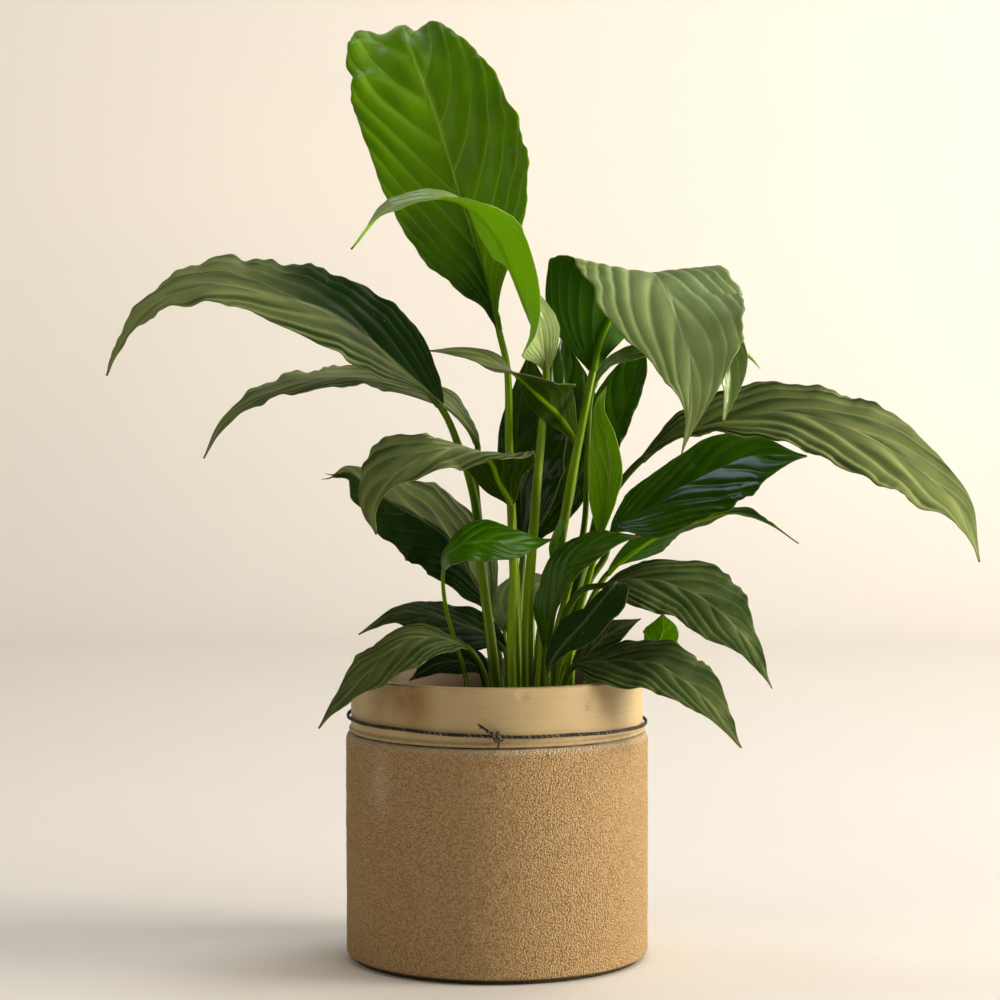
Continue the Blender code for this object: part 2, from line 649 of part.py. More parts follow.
def tube(centres, tangents, radii, sides, closed=False):
    """A round tube along the centres: its points and faces. A closed tube joins its last ring to its first."""
    reference = np.array([0.0, -1.0, 0.0])
    if closed:
        first = unit(np.cross(tangents, [0.0, 0.0, 1.0]))
    else:
        first = unit(reference - (tangents @ reference)[:, None] * tangents)
    second = np.cross(tangents, first)
    turn = np.arange(sides) * 2 * np.pi / sides
    spokes = np.cos(turn)[None, :, None] * first[:, None] + np.sin(turn)[None, :, None] * second[:, None]
    points = (centres[:, None] + np.asarray(radii)[:, None, None] * spokes).reshape(-1, 3)
    rings = len(centres)
    index = np.arange(rings * sides).reshape(rings, sides)
    here = index if closed else index[:-1]
    there = np.roll(index, -1, axis=0) if closed else index[1:]
    quads = np.stack([here, np.roll(here, -1, axis=1), np.roll(there, -1, axis=1), there], -1).reshape(-1, 4)
    faces = [tuple(quad) for quad in quads]
    if not closed:
        faces += [tuple(index[0, ::-1]), tuple(index[-1])]
    return points, faces


def stalk_tube(leaf):
    """The stalk: a tapering tube that stands level on the soil and ends just short of the blade."""
    line, stalk_length = leaf_path(leaf)
    centres, tangents = stations(line, 0, stalk_length - 2 * CLEARANCE, STALK_RINGS)
    tangents[0] = (0, 0, 1)
    radii = np.linspace(leaf.stalk_radii[0], leaf.stalk_radii[1], STALK_RINGS)
    return tube(centres, tangents, radii, STALK_SIDES)


def turned(profile, sides=POT_SIDES):
    """A solid of revolution about the Z axis. The profile is (radius, height) and ends on the axis both ways."""
    ring = np.asarray(profile[1:-1], float)
    turn = np.arange(sides) * 2 * np.pi / sides
    x = ring[:, None, 0] * np.cos(turn)
    y = ring[:, None, 0] * np.sin(turn)
    z = np.repeat(ring[:, None, 1], sides, axis=1)
    poles = [(0, 0, profile[0][1]), (0, 0, profile[-1][1])]
    points = np.vstack([np.stack([x, y, z], -1).reshape(-1, 3), poles])
    index = np.arange(len(ring) * sides).reshape(len(ring), sides)
    quads = np.stack([index[:-1], np.roll(index[:-1], -1, 1), np.roll(index[1:], -1, 1), index[1:]], -1)
    faces = [tuple(quad) for quad in quads.reshape(-1, 4)]
    first, last = len(points) - 2, len(points) - 1
    faces += [(first, b, a) for a, b in zip(index[0], np.roll(index[0], -1))]
    faces += [(last, a, b) for a, b in zip(index[-1], np.roll(index[-1], -1))]
    return points, faces


def pot_profile():
    """The planter's section, from the middle of its underside, up the outside and down the inside."""
    inner = NECK_RADIUS - WALL
    return (
        (0, 0),
        (FOOT_RADIUS, 0),
        (FOOT_RADIUS, FOOT_HEIGHT),
        (POT_RADIUS - 1.6, FOOT_HEIGHT + 0.4),
        (POT_RADIUS - 0.5, FOOT_HEIGHT + 1.4),
        (POT_RADIUS, FOOT_HEIGHT + 3),
        (POT_RADIUS, SHOULDER_HEIGHT - 3.5),
        (POT_RADIUS - 0.4, SHOULDER_HEIGHT - 1.4),
        (POT_RADIUS - 1.5, SHOULDER_HEIGHT - 0.2),
        (NECK_RADIUS, SHOULDER_HEIGHT),
        (NECK_RADIUS - 0.2, SHOULDER_HEIGHT + 0.8),
        (NECK_RADIUS + 1, SHOULDER_HEIGHT + 1.2),
        (NECK_RADIUS + 1, SHOULDER_HEIGHT + 2.4),
        (NECK_RADIUS, SHOULDER_HEIGHT + 3),
        (NECK_RADIUS, POT_HEIGHT - 1),
        (NECK_RADIUS - 0.8, POT_HEIGHT),
        (inner + 0.8, POT_HEIGHT),
        (inner, POT_HEIGHT - 1),
        (inner, FLOOR + 4),
        (inner - 1.2, FLOOR + 1.2),
        (inner - 4, FLOOR),
        (0, FLOOR),
    )


def soil_profile():
    """The soil's section: it fills the planter from its floor to SOIL_TOP, a clearance away from it."""
    radius = NECK_RADIUS - WALL - CLEARANCE
    floor = FLOOR + CLEARANCE
    return (
        (0, floor),
        (radius - 4, floor),
        (radius - 1.2, floor + 1.2),
        (radius, floor + 4),
        (radius, SOIL_TOP),
        (0, SOIL_TOP),
    )


def cord_ring():
    """The cord's closed ring, snug round the neck and lower on the right."""
    turn = np.arange(CORD_STEPS) * 2 * np.pi / CORD_STEPS
    radius = NECK_RADIUS + CLEARANCE + CORD_RADIUS
    height = CORD_HEIGHT - CORD_TILT * np.cos(turn)
    centres = np.column_stack([radius * np.cos(turn), radius * np.sin(turn), height])
    tangents = unit(np.roll(centres, -1, axis=0) - np.roll(centres, 1, axis=0))
    return tube(centres, tangents, np.full(CORD_STEPS, CORD_RADIUS), CORD_SIDES, closed=True)


def cord_knot():
    """The knot in front of the ring, with one end up to the left and one end down."""
    front = -NECK_RADIUS - 2 * CLEARANCE - 2 * CORD_RADIUS - KNOT_RADIUS
    route = ((-8, 124), (-5, 122), (-2, 120), (0, 118), (1, 116), (0, 114))
    line = smooth_curve([(x, front, z) for x, z in route])
    rings = 15
    share = np.linspace(0, 1, rings)
    centres, tangents = stations(line, 0, lengths_along(line)[-1], rings)
    lump = np.exp(-(((share - 0.58) / 0.14) ** 2))
    end_radius = 0.7 * CORD_RADIUS
    return tube(centres, tangents, end_radius + (KNOT_RADIUS - end_radius) * lump, 8)


# Blender objects


def linear_colour(code):
    """An sRGB hex code as linear red, green, blue and alpha."""
    channels = [int(code[start:start + 2], 16) / 255 for start in (1, 3, 5)]
    linear = [c / 12.92 if c <= 0.04045 else ((c + 0.055) / 1.055) ** 2.4 for c in channels]
    return (*linear, 1.0)


def add_object(name, points, faces, colour, roughness, metallic=0.0):
    """One closed mesh object with its own material."""
    mesh = bpy.data.meshes.new(name)
    metres = [tuple(point) for point in np.asarray(points) * MM]
    mesh.from_pydata(metres, [], [tuple(map(int, face)) for face in faces])
    mesh.update()
    material = bpy.data.materials.new(name)
    material.use_nodes = True
    shader = material.node_tree.nodes["Principled BSDF"]
    shader.inputs["Base Color"].default_value = linear_colour(colour)
    shader.inputs["Roughness"].default_value = roughness
    shader.inputs["Metallic"].default_value = metallic
    mesh.materials.append(material)
    item = bpy.data.objects.new(name, mesh)
    bpy.context.collection.objects.link(item)
    return item


def add_leaf(leaf):
    """A leaf's blade and its stalk."""
    large = sum(leaf.half_widths) > LARGE_BLADE / 2
    grid = blade_grid(leaf, 13 if large else 10, 3 if large else 2)
    add_object(leaf.name + "_leaf", *thick_sheet(grid, BLADE_THICKNESS), leaf.colour, 0.4)
    add_object(leaf.name + "_stalk", *stalk_tube(leaf), STALK_GREEN, 0.4)


def main():
    """Clear the scene and build the plant in its planter."""
    for item in list(bpy.data.objects):
        bpy.data.objects.remove(item, do_unlink=True)
    add_object("pot", *turned(pot_profile()), "#b98d52", 0.9)
    add_object("potting_soil", *turned(soil_profile()), "#2e221a", 1.0)
    add_object("neck_cord", *cord_ring(), "#3a3128", 0.8)
    add_object("cord_knot", *cord_knot(), "#3a3128", 0.8)
    for leaf in LEAVES:
        add_leaf(leaf)


main()
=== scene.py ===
"""Potted peace lily: arching ribbed leaves on green stalks, in a sand-cast planter with a cord round its neck.

Lengths are in millimetres until a mesh is made. +X is the photograph's right, -Y is towards the camera.
"""

import logging
from dataclasses import dataclass
from enum import Enum
from functools import partial
from typing import Any, Callable

import bpy
import numpy as np
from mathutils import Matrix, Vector


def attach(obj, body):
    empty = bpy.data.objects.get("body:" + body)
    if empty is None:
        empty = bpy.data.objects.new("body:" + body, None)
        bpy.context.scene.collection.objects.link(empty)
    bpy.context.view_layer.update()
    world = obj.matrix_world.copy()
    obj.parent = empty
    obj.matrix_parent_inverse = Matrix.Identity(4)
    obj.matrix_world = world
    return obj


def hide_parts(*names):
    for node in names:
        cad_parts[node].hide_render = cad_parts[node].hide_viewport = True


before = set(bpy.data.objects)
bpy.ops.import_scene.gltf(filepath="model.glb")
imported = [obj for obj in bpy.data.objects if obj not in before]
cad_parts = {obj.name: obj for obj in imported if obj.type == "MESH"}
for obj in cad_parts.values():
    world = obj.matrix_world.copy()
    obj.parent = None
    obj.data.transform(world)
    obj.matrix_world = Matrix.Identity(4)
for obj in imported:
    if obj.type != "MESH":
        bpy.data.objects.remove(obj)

Array = np.ndarray
Colour = tuple[float, float, float, float]
Rows = tuple[tuple[float, ...], ...]
AddNode = Callable[..., Any]
LOG = logging.getLogger("peace_lily")
MM = 0.001
CURVE_STEPS = 24


class Outline(Enum):
    """Outlines of a blade: share of its length, share of its half width."""

    BROAD = (
        (0, 0.05), (0.05, 0.22), (0.14, 0.55), (0.28, 0.87), (0.43, 1.0), (0.58, 0.97),
        (0.72, 0.78), (0.84, 0.45), (0.92, 0.19), (0.97, 0.07), (1, 0.02),
    )
    LANCE = (
        (0, 0.07), (0.06, 0.30), (0.16, 0.66), (0.28, 0.92), (0.40, 1.0), (0.54, 0.93),
        (0.68, 0.72), (0.80, 0.44), (0.89, 0.21), (0.95, 0.09), (1, 0.02),
    )
    TALL = (
        (0, 0.04), (0.06, 0.12), (0.16, 0.38), (0.30, 0.74), (0.45, 0.96), (0.58, 1.0),
        (0.70, 0.92), (0.80, 0.72), (0.89, 0.42), (0.96, 0.16), (1, 0.03),
    )


# Colour and nodes


def metres(*lengths: float) -> tuple[float, ...]:
    """Lengths in millimetres as metres, for what a material measures."""
    return tuple(length * MM for length in lengths)


def srgb(code: str) -> Colour:
    """The linear colour of an sRGB hex code.

    Args:
        code: the colour as "#rrggbb".

    Returns:
        Linear red, green, blue and an alpha of 1.
    """
    channels = np.array([int(code[start:start + 2], 16) for start in (1, 3, 5)]) / 255
    linear = np.where(channels <= 0.04045, channels / 12.92, ((channels + 0.055) / 1.055) ** 2.4)
    return (*(float(c) for c in linear), 1.0)


def add_node(tree: bpy.types.NodeTree, kind: str, inputs: Any = (), out: str | None = None,
             **settings: Any) -> bpy.types.NodeSocket:
    """Add a node with its settings, values and links.

    Args:
        tree: the material's node tree.
        kind: the node's type, without the ShaderNode in front.
        inputs: a value, a colour's hex code or the output socket that feeds it, for each input by its name, or
            in order for those that the settings leave in use. So Map Range takes the value, the two ends of
            its range and what they become, Mix its share, A and B, and a noise its place, scale and detail.
        out: the name of the wanted output, where it isn't the first one in use.
        settings: the node's own properties.

    Returns:
        The node's output.
    """
    node = tree.nodes.new("ShaderNode" + kind)
    for key, value in settings.items():
        setattr(node, key, value)
    if isinstance(inputs, dict):
        fed = [(node.inputs[name], value) for name, value in inputs.items()]
    else:
        fed = zip([socket for socket in node.inputs if socket.enabled], inputs)
    for socket, value in fed:
        if isinstance(value, bpy.types.NodeSocket):
            tree.links.new(value, socket)
        else:
            socket.default_value = srgb(value) if isinstance(value, str) else value
    return node.outputs[out] if out else next(socket for socket in node.outputs if socket.enabled)


def new_material(name: str, finish: dict[str, Any]) -> tuple[bpy.types.Material, AddNode]:
    """Start a material with the values that are the same all over its surface.

    Args:
        name: the material's name.
        finish: a value for each of the principled shader's sockets that it sets.

    Returns:
        The material, and add_node for its tree.
    """
    material = bpy.data.materials.new(name)
    material.use_nodes = True
    for socket, value in finish.items():
        material.node_tree.nodes["Principled BSDF"].inputs[socket].default_value = value
    return material, partial(add_node, material.node_tree)


def dress(material: bpy.types.Material, **patterns: bpy.types.NodeSocket) -> bpy.types.Material:
    """Feed patterns to the principled shader.

    Args:
        material: the material that they belong to.
        patterns: each one's output, by the name of the shader's socket, with _ for a space.

    Returns:
        The same material.
    """
    tree = material.node_tree
    for socket, pattern in patterns.items():
        tree.links.new(pattern, tree.nodes["Principled BSDF"].inputs[socket.replace("_", " ")])
    return material


# Curves and grids


def unit(vectors: Array) -> Array:
    """The vectors scaled to length 1."""
    return vectors / np.maximum(np.linalg.norm(vectors, axis=-1, keepdims=True), 1e-12)


def smooth_curve(points: Any, steps: int = CURVE_STEPS) -> Array:
    """A centripetal Catmull-Rom curve: between two points, the cubic whose end slopes weigh the chords on both
    sides by the square roots of their lengths.

    Args:
        points: the points that the curve passes through, of any dimension.
        steps: the number of steps between two of them.

    Returns:
        The curve's points, one in each row.
    """
    p = np.asarray(points, float)
    knots = np.concatenate([[0], np.cumsum(np.linalg.norm(np.diff(p, axis=0), axis=1) ** 0.5)])
    padded = np.vstack([2 * p[0] - p[1], p, 2 * p[-1] - p[-2]])
    padded_knots = np.concatenate([[2 * knots[0] - knots[1]], knots, [2 * knots[-1] - knots[-2]]])
    gaps = np.diff(padded_knots)[:, None]
    slopes = np.diff(padded, axis=0) / gaps
    tangents = (slopes[:-1] * gaps[1:] + slopes[1:] * gaps[:-1]) / (gaps[:-1] + gaps[1:])
    span = np.diff(knots)[:, None, None]
    u = (np.arange(steps) / steps)[None, :, None]
    start = (2 * u**3 - 3 * u**2 + 1) * p[:-1, None] + (u**3 - 2 * u**2 + u) * tangents[:-1, None] * span
    end = (3 * u**2 - 2 * u**3) * p[1:, None] + (u**3 - u**2) * tangents[1:, None] * span
    return np.vstack([(start + end).reshape(-1, p.shape[1]), p[-1:]])


def lengths_along(line: Array) -> Array:
    """The distance from the line's start to each of its points."""
    return np.concatenate([[0], np.cumsum(np.linalg.norm(np.diff(line, axis=0), axis=1))])


def stations(line: Array, wanted: Array) -> tuple[Array, Array]:
    """Points on a line.

    Args:
        line: the line's points.
        wanted: distances from its start.

    Returns:
        The points at those distances, and the line's direction at each.
    """
    length = lengths_along(line)
    direction = unit(np.gradient(line, length, axis=0))
    points = np.stack([np.interp(wanted, length, line[:, axis]) for axis in range(3)], -1)
    tangents = np.stack([np.interp(wanted, length, direction[:, axis]) for axis in range(3)], -1)
    return points, unit(tangents)


def along(values: Any, t: Array) -> Array:
    """Evenly spaced values, or vectors, read between one another in straight steps.

    Args:
        values: the values from one end of the blade to the other. A single one holds all along it.
        t: the shares of the blade's length to read at.

    Returns:
        A value for each of them.
    """
    table = np.asarray(values, float)
    if len(table) == 1:
        return np.repeat(table, len(t), axis=0)
    places = np.linspace(0, 1, len(table))
    if table.ndim == 1:
        return np.interp(t, places, table)
    return np.stack([np.interp(t, places, table[:, axis]) for axis in range(3)], -1)


def lattice_noise(u: Array, v: Array, seed: int, period: int = 0) -> Array:
    """Smooth random bumps about one unit wide: random values on a lattice, blended by the cubic 3x^2 - 2x^3.

    Args:
        u: the first coordinate, in units of one bump.
        v: the second coordinate, the same shape as u.
        seed: picks the random values.
        period: the number of bumps after which u repeats, or 0 where it doesn't.

    Returns:
        Values from -1 to 1 in the same shape.
    """
    table = np.random.default_rng(seed).uniform(-1, 1, (256, 256))
    i, j = np.floor(u).astype(int), np.floor(v).astype(int)
    a, b = u - i, v - j
    a, b = a * a * (3 - 2 * a), b * b * (3 - 2 * b)
    wrap = period or 256
    near, far = (i % wrap) % 256, ((i + 1) % wrap) % 256
    low, high = j % 256, (j + 1) % 256
    bottom = table[near, low] * (1 - a) + table[far, low] * a
    top = table[near, high] * (1 - a) + table[far, high] * a
    return bottom * (1 - b) + top * b


# Meshes


def new_object(name: str, points: Array, faces: list[Any], material: bpy.types.Material) -> bpy.types.Object:
    """Put a smooth mesh into the scene.

    Args:
        name: the object's name and its mesh's.
        points: its points in metres.
        faces: the point numbers of each face.
        material: its finish.

    Returns:
        The new object.
    """
    mesh = bpy.data.meshes.new(name)
    mesh.from_pydata(points.tolist(), [], faces)
    mesh.polygons.foreach_set("use_smooth", np.ones(len(mesh.polygons), bool))
    mesh.materials.append(material)
    item = bpy.data.objects.new(name, mesh)
    bpy.context.scene.collection.objects.link(item)
    return item


@dataclass
class Shell:
    """A closed surface in millimetres: its points, its faces, and what its material reads at each point."""

    points: Array
    faces: list[Any]
    uv: Array | None = None
    values: dict[str, Array] | None = None

    def piece(self, name: str, material: bpy.types.Material, node: str, slot: str) -> None:
        """Put the shell into the scene in place of a node of the frame.

        Args:
            name: the new piece's name.
            material: its finish.
            node: the node that it stands for.
            slot: the record's material slot. Not used.
        """
        item = new_object(name, self.points * MM, self.faces, material)
        mesh = item.data
        if self.uv is not None:
            corners = np.empty(len(mesh.loops), int)
            mesh.loops.foreach_get("vertex_index", corners)
            mesh.uv_layers.new(name="surface").data.foreach_set("uv", self.uv[corners].ravel())
        for label, value in (self.values or {}).items():
            mesh.attributes.new(label, "FLOAT", "POINT").data.foreach_set("value", value.ravel())
        mesh.update()
        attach(item, "root")
        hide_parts(node)
        LOG.info("%s: %d faces", name, len(mesh.polygons))


def quads_of(rings: int, sides: int, ring_closed: bool = True, path_closed: bool = False) -> Array:
    """The quads of a grid of points.

    Args:
        rings: the number of rows.
        sides: the number of points in a row.
        ring_closed: whether each row's last point joins its first.
        path_closed: whether the last row joins the first.

    Returns:
        Four point numbers for each quad.
    """
    index = np.arange(rings * sides).reshape(rings, sides)
    if path_closed:
        index = np.vstack([index, index[:1]])
    if ring_closed:
        index = np.hstack([index, index[:, :1]])
    corners = [index[:-1, :-1], index[:-1, 1:], index[1:, 1:], index[1:, :-1]]
    return np.stack(corners, -1).reshape(-1, 4)


def swept(centres: Array, tangents: Array, radii: Array, closed: bool = False) -> Shell:
    """A tube whose section may change on the way: centre + radius(turn, place) x (cos turn x first + sin turn x
    second), where first is square to the path: up on a ring, towards the camera on an open path.

    Args:
        centres: points on the path.
        tangents: the path's direction at each.
        radii: the radius at each place (rows) and turn (columns).
        closed: whether the path's end joins its start.

    Returns:
        The tube, with flat caps where it is open.
    """
    rings, sides = radii.shape
    reference = np.array((0.0, 0.0, 1.0) if closed else (0.0, -1.0, 0.0))
    first = unit(reference - (tangents @ reference)[:, None] * tangents)
    second = np.cross(tangents, first)
    turn = np.arange(sides) * 2 * np.pi / sides
    spokes = np.cos(turn)[None, :, None] * first[:, None] + np.sin(turn)[None, :, None] * second[:, None]
    points = (centres[:, None] + radii[..., None] * spokes).reshape(-1, 3)
    faces = quads_of(rings, sides, True, closed).tolist()
    if not closed:
        faces += [list(range(sides))[::-1], list(range((rings - 1) * sides, rings * sides))]
    return Shell(points, faces)


def tube_uv(turn: Array, distance: Array, shape: tuple[int, ...]) -> Array:
    """UV for each point of a tube: the share of the turn, going and coming back, and the mm along it / 100."""
    around = np.broadcast_to(np.abs(turn / np.pi - 1), shape)
    return np.stack([around, np.broadcast_to(distance / 100, shape)], -1).reshape(-1, 2)


def turned(profile: Array, sides: int) -> tuple[Array, Array, list[Any]]:
    """A solid of revolution about Z: (radius, height) becomes (radius x cos turn, radius x sin turn, height).

    Args:
        profile: radius and height, from the axis and back to it. The first and last points are its poles.
        sides: the number of points round it.

    Returns:
        The ring points in a grid, the two poles, and the faces.
    """
    ring = profile[1:-1]
    turn = np.arange(sides) * 2 * np.pi / sides
    x, y = ring[:, None, 0] * np.cos(turn), ring[:, None, 0] * np.sin(turn)
    grid = np.stack([x, y, np.broadcast_to(ring[:, None, 1], x.shape)], -1)
    count = len(ring) * sides
    here = np.arange(sides)
    there = np.roll(here, -1)
    last = count - sides
    faces = quads_of(len(ring), sides).tolist()
    faces += np.column_stack([np.full(sides, count), there, here]).tolist()
    faces += np.column_stack([np.full(sides, count + 1), last + here, last + there]).tolist()
    poles = np.array([(0, 0, profile[0][1]), (0, 0, profile[-1][1])], float)
    return grid, poles, faces


def joined(parts: list[Shell]) -> Shell:
    """Several shells as one, with their faces renumbered.

    Args:
        parts: the shells, all with UV and with the values that the first one has.

    Returns:
        The one shell.
    """
    starts = np.cumsum([0] + [len(part.points) for part in parts[:-1]])
    faces = [[corner + int(start) for corner in face] for part, start in zip(parts, starts) for face in part.faces]
    labels = parts[0].values or {}
    values = {label: np.concatenate([part.values[label].ravel() for part in parts]) for label in labels}
    return Shell(np.vstack([part.points for part in parts]), faces, np.vstack([part.uv for part in parts]), values)


# Leaves


@dataclass(frozen=True)
class LeafFinish:
    """Living leaf of a peace lily, grown, with a thin wax skin: green in two depths, the deeper one partly
    painted shade, finely veined, with a soft gloss that breaks up over the quilted blade.

    Colours are sRGB. The upper side runs from upper to deep as the blade's shade attribute goes from 0 to 1, and
    deep is partly the leaf's own deeper green and partly painted shade. vein is the paler line of each vein, and
    under is the duller underside. hollow_shade is how much painted shade deepens the green beside a vein.
    specular and tint are the level and colour of the sheen: an old leaf's is dusty and beige, a young one's faint
    and green. keel is the midrib below, and dust, margin and dried lie over both sides.
    """

    label: str
    slot: str
    upper: str
    deep: str
    vein: str
    under: str
    roughness: float
    coat: float
    vein_strength: float
    glow: float
    hollow_shade: float
    specular: float = 0.16
    tint: str = "#e4ff9c"
    keel: str = "#6f9400"
    dust: str = "#b4b88a"
    margin: str = "#857a48"
    dried: str = "#5a3a1c"

    def upper_green(self, add: AddNode, vein: Any, offset: Any, shade: Any, patch: Any, main_vein: Any,
                    fine_vein: Any) -> Any:
        """The colour of the upper side.

        Args:
            add: add_node for the material's tree.
            vein: the veins counted along the blade.
            offset: the distance from the midrib.
            shade: 0 where the green is pale, 1 where it is deep: partly the leaf's own green, partly painted shade.
            patch: a noise of about 15 mm.
            main_vein: 1 on a main vein, 0 away from it.
            fine_vein: the same for the fine ones.

        Returns:
            The colour's output.
        """
        # Painted shade: from each vein the green deepens at once on its outer side, where the quilt turns from
        # the light, and slowly pales to the next vein.
        across = add("Math", (vein,), operation="FRACT")
        rise = add("MapRange", (across, 0.03, 0.24), interpolation_type="SMOOTHSTEP")
        fall = add("MapRange", (across, 0.42, 0.97, 1.0, 0.0), interpolation_type="SMOOTHSTEP")
        hollow_shade = add("Math", (rise, fall), operation="MULTIPLY")
        wander = add("MapRange", (patch, 0.3, 0.7, -0.12, 0.12))
        shade = add("Math", (shade, wander), operation="ADD")
        # No two ribs are alike: how deep the painted shade in a hollow gets changes from rib to rib, and over some
        # 15 mm along one.
        rib = add("Math", (vein,), operation="FLOOR")
        rib = add("Math", (rib, 7.3), operation="MULTIPLY")
        along_rib = add("Math", (offset, 0.07), operation="MULTIPLY")
        strip = add("CombineXYZ", (rib, along_rib))
        strip = add("TexNoise", (strip, 1.0, 2.0))
        depth = add("MapRange", (strip, 0.35, 0.65, self.hollow_shade * 0.3, self.hollow_shade * 1.5))
        depth = add("Math", (hollow_shade, depth), operation="MULTIPLY")
        paler = add("Math", (1.0, shade), operation="SUBTRACT", use_clamp=True)
        shade = add("Math", (depth, paler, shade), operation="MULTIPLY_ADD", use_clamp=True)
        # The veins' pale lines come and go, and fade as the shade rises, where the green is deep and where shade
        # is painted. The midrib is one of them.
        fine = add("Math", (fine_vein, 0.05), operation="MULTIPLY")
        shown = add("Math", (shade, -0.65, 1.0), operation="MULTIPLY_ADD")
        line = add("MapRange", (patch, 0.35, 0.65, self.vein_strength * 0.4, self.vein_strength * 1.5))
        line = add("Math", (shown, line), operation="MULTIPLY")
        line = add("Math", (main_vein, line), operation="MULTIPLY")
        midrib = add("MapRange", (offset, 0.3, 1.1, self.vein_strength * 2.0, 0.0), interpolation_type="SMOOTHSTEP")
        midrib = add("Math", (midrib, shown), operation="MULTIPLY")
        green = self.upper
        for share, over in ((shade, self.deep), (fine, self.vein), (line, self.vein), (midrib, self.vein)):
            green = add("Mix", (share, green, over), data_type="RGBA")
        return green

    def material(self) -> bpy.types.Material:
        """The leaf's material, patterned by the veins' own places on the blade.

        Returns:
            A material that reads the blade's attributes: vein (veins counted along the blade), side (1 above,
            0 below), offset (mm from the midrib), edge (mm from the margin), shade (0 pale, 1 deep green partly
            with painted shade) and dry (1 where the tip has died).
        """
        material, add = new_material("living leaf, waxy, " + self.label, {
            "IOR": 1.42,
            "Specular IOR Level": self.specular,
            "Specular Tint": srgb(self.tint),
            "Coat Roughness": 0.16,
            # Light comes through the blade, yellower than it went in.
            "Subsurface Weight": self.glow,
            "Subsurface Radius": (0.8, 1.0, 0.1),
            "Subsurface Scale": 0.001,
        })
        vein, side, offset, edge, dry, shade = (
            add("Attribute", out="Fac", attribute_name=name)
            for name in ("vein", "side", "offset", "edge", "dry", "shade"))
        place = add("TexCoord", out="Object")
        # Main veins lie 6 to 15 mm apart and are 0.5 mm wide. The fine ones between them lie 1 mm apart.
        from_vein = add("Math", (vein, 0.5), operation="PINGPONG")
        main_vein = add("MapRange", (from_vein, 0.0, 0.065, 1.0, 0.0), interpolation_type="SMOOTHSTEP")
        many = add("Math", (vein, 9.0), operation="MULTIPLY")
        from_fine = add("Math", (many, 0.5), operation="PINGPONG")
        fine_vein = add("MapRange", (from_fine, 0.0, 0.4, 1.0, 0.0), interpolation_type="SMOOTHSTEP")
        # The green wanders over about 15 mm, and single cells of colour over about 1 mm.
        patch = add("TexNoise", (place, 65.0, 4.0))
        cell = add("TexNoise", (place, 900.0, 2.0))
        green = self.upper_green(add, vein, offset, shade, patch, main_vein, fine_vein)
        # Below, the veins hardly show, and the midrib is a broad bright keel.
        faint = add("Math", (main_vein, 0.08), operation="MULTIPLY")
        keel = add("MapRange", (offset, 0.8, 1.8, 0.65, 0.0), interpolation_type="SMOOTHSTEP")
        below = self.under
        for share, over in ((faint, self.vein), (keel, self.keel)):
            below = add("Mix", (share, below, over), data_type="RGBA")
        # A few pale flecks of dust and old water lie on both sides, a thin tan line runs along the margin, and
        # the last of the tip has dried.
        fleck = add("MapRange", (cell, 0.74, 0.8, 0.0, 0.5))
        margin = add("MapRange", (edge, 0.1, 0.6, 0.28, 0.0))
        colour = below
        for share, over in ((side, green), (fleck, self.dust), (margin, self.margin), (dry, self.dried)):
            colour = add("Mix", (share, colour, over), data_type="RGBA")
        # Main veins lie in creases 0.3 mm deep, the fine ones stand 0.02 mm high, and the wax is a little uneven.
        crease = add("MapRange", (from_vein, 0.0, 0.22), interpolation_type="SMOOTHSTEP")
        facing = add("MapRange", (side, 0.0, 1.0, -0.3, 1.0))
        crease = add("Math", (crease, facing), operation="MULTIPLY")
        creased = add("Bump", {"Height": crease, "Distance": 0.0003, "Strength": 0.7})
        lines = add("Bump", {"Height": fine_vein, "Normal": creased, "Distance": 0.00002, "Strength": 0.5})
        skin = add("Bump", {"Height": cell, "Normal": lines, "Distance": 0.00006, "Strength": 0.3})
        # The wax is worn over about 15 mm, and the underside is matt.
        rough = add("MapRange", (patch, 0.3, 0.7, self.roughness - 0.08, self.roughness + 0.1))
        matt = add("MapRange", (side, 0.0, 1.0, 0.5, 0.0))
        rough = add("Math", (rough, matt), operation="MAXIMUM")
        wax = add("MapRange", (side, 0.0, 1.0, 0.0, self.coat))
        return dress(material, Base_Color=colour, Roughness=rough, Normal=skin, Coat_Weight=wax)


class Age(Enum):
    """How old a leaf is, which sets its greens."""

    FRESH = LeafFinish(
        "fresh", "fresh_leaf", "#6c9c00", "#1c4400", "#9ab450", "#5f9600", 0.36, 0.08, 0.34, 0.2, 0.3)
    TENDER = LeafFinish(
        "tender", "fresh_leaf", "#b4c87c", "#4c6c20", "#c8d09c", "#7cb600", 0.3, 0.5, 0.3, 0.3, 0.25)
    BRIGHT = LeafFinish(
        "young", "young_leaf", "#508a00", "#143c00", "#83a63c", "#1e3e00", 0.26, 0.5, 0.2, 0.15, 0.35, 0.02)
    # An old leaf's pale grey olive upper green is partly painted sheen on its ribs, over its own olive.
    OLIVE = LeafFinish(
        "old olive", "olive_leaf", "#8a9456", "#062a00", "#a4a474", "#263e00", 0.42, 0.0, 0.2, 0.1, 0.75, 0.05,
        "#f4ffa0")
    PALE = LeafFinish(
        "pale ribbed", "pale_leaf", "#90a264", "#2a4600", "#b8bc8c", "#2a5000", 0.44, 0.0, 0.24, 0.1, 0.42, 0.08,
        "#f0ffc8")
    DEEP = LeafFinish(
        "deep green", "deep_leaf", "#427000", "#061a00", "#6a7c34", "#143000", 0.24, 0.36, 0.12, 0.1, 0.35, 0.02)


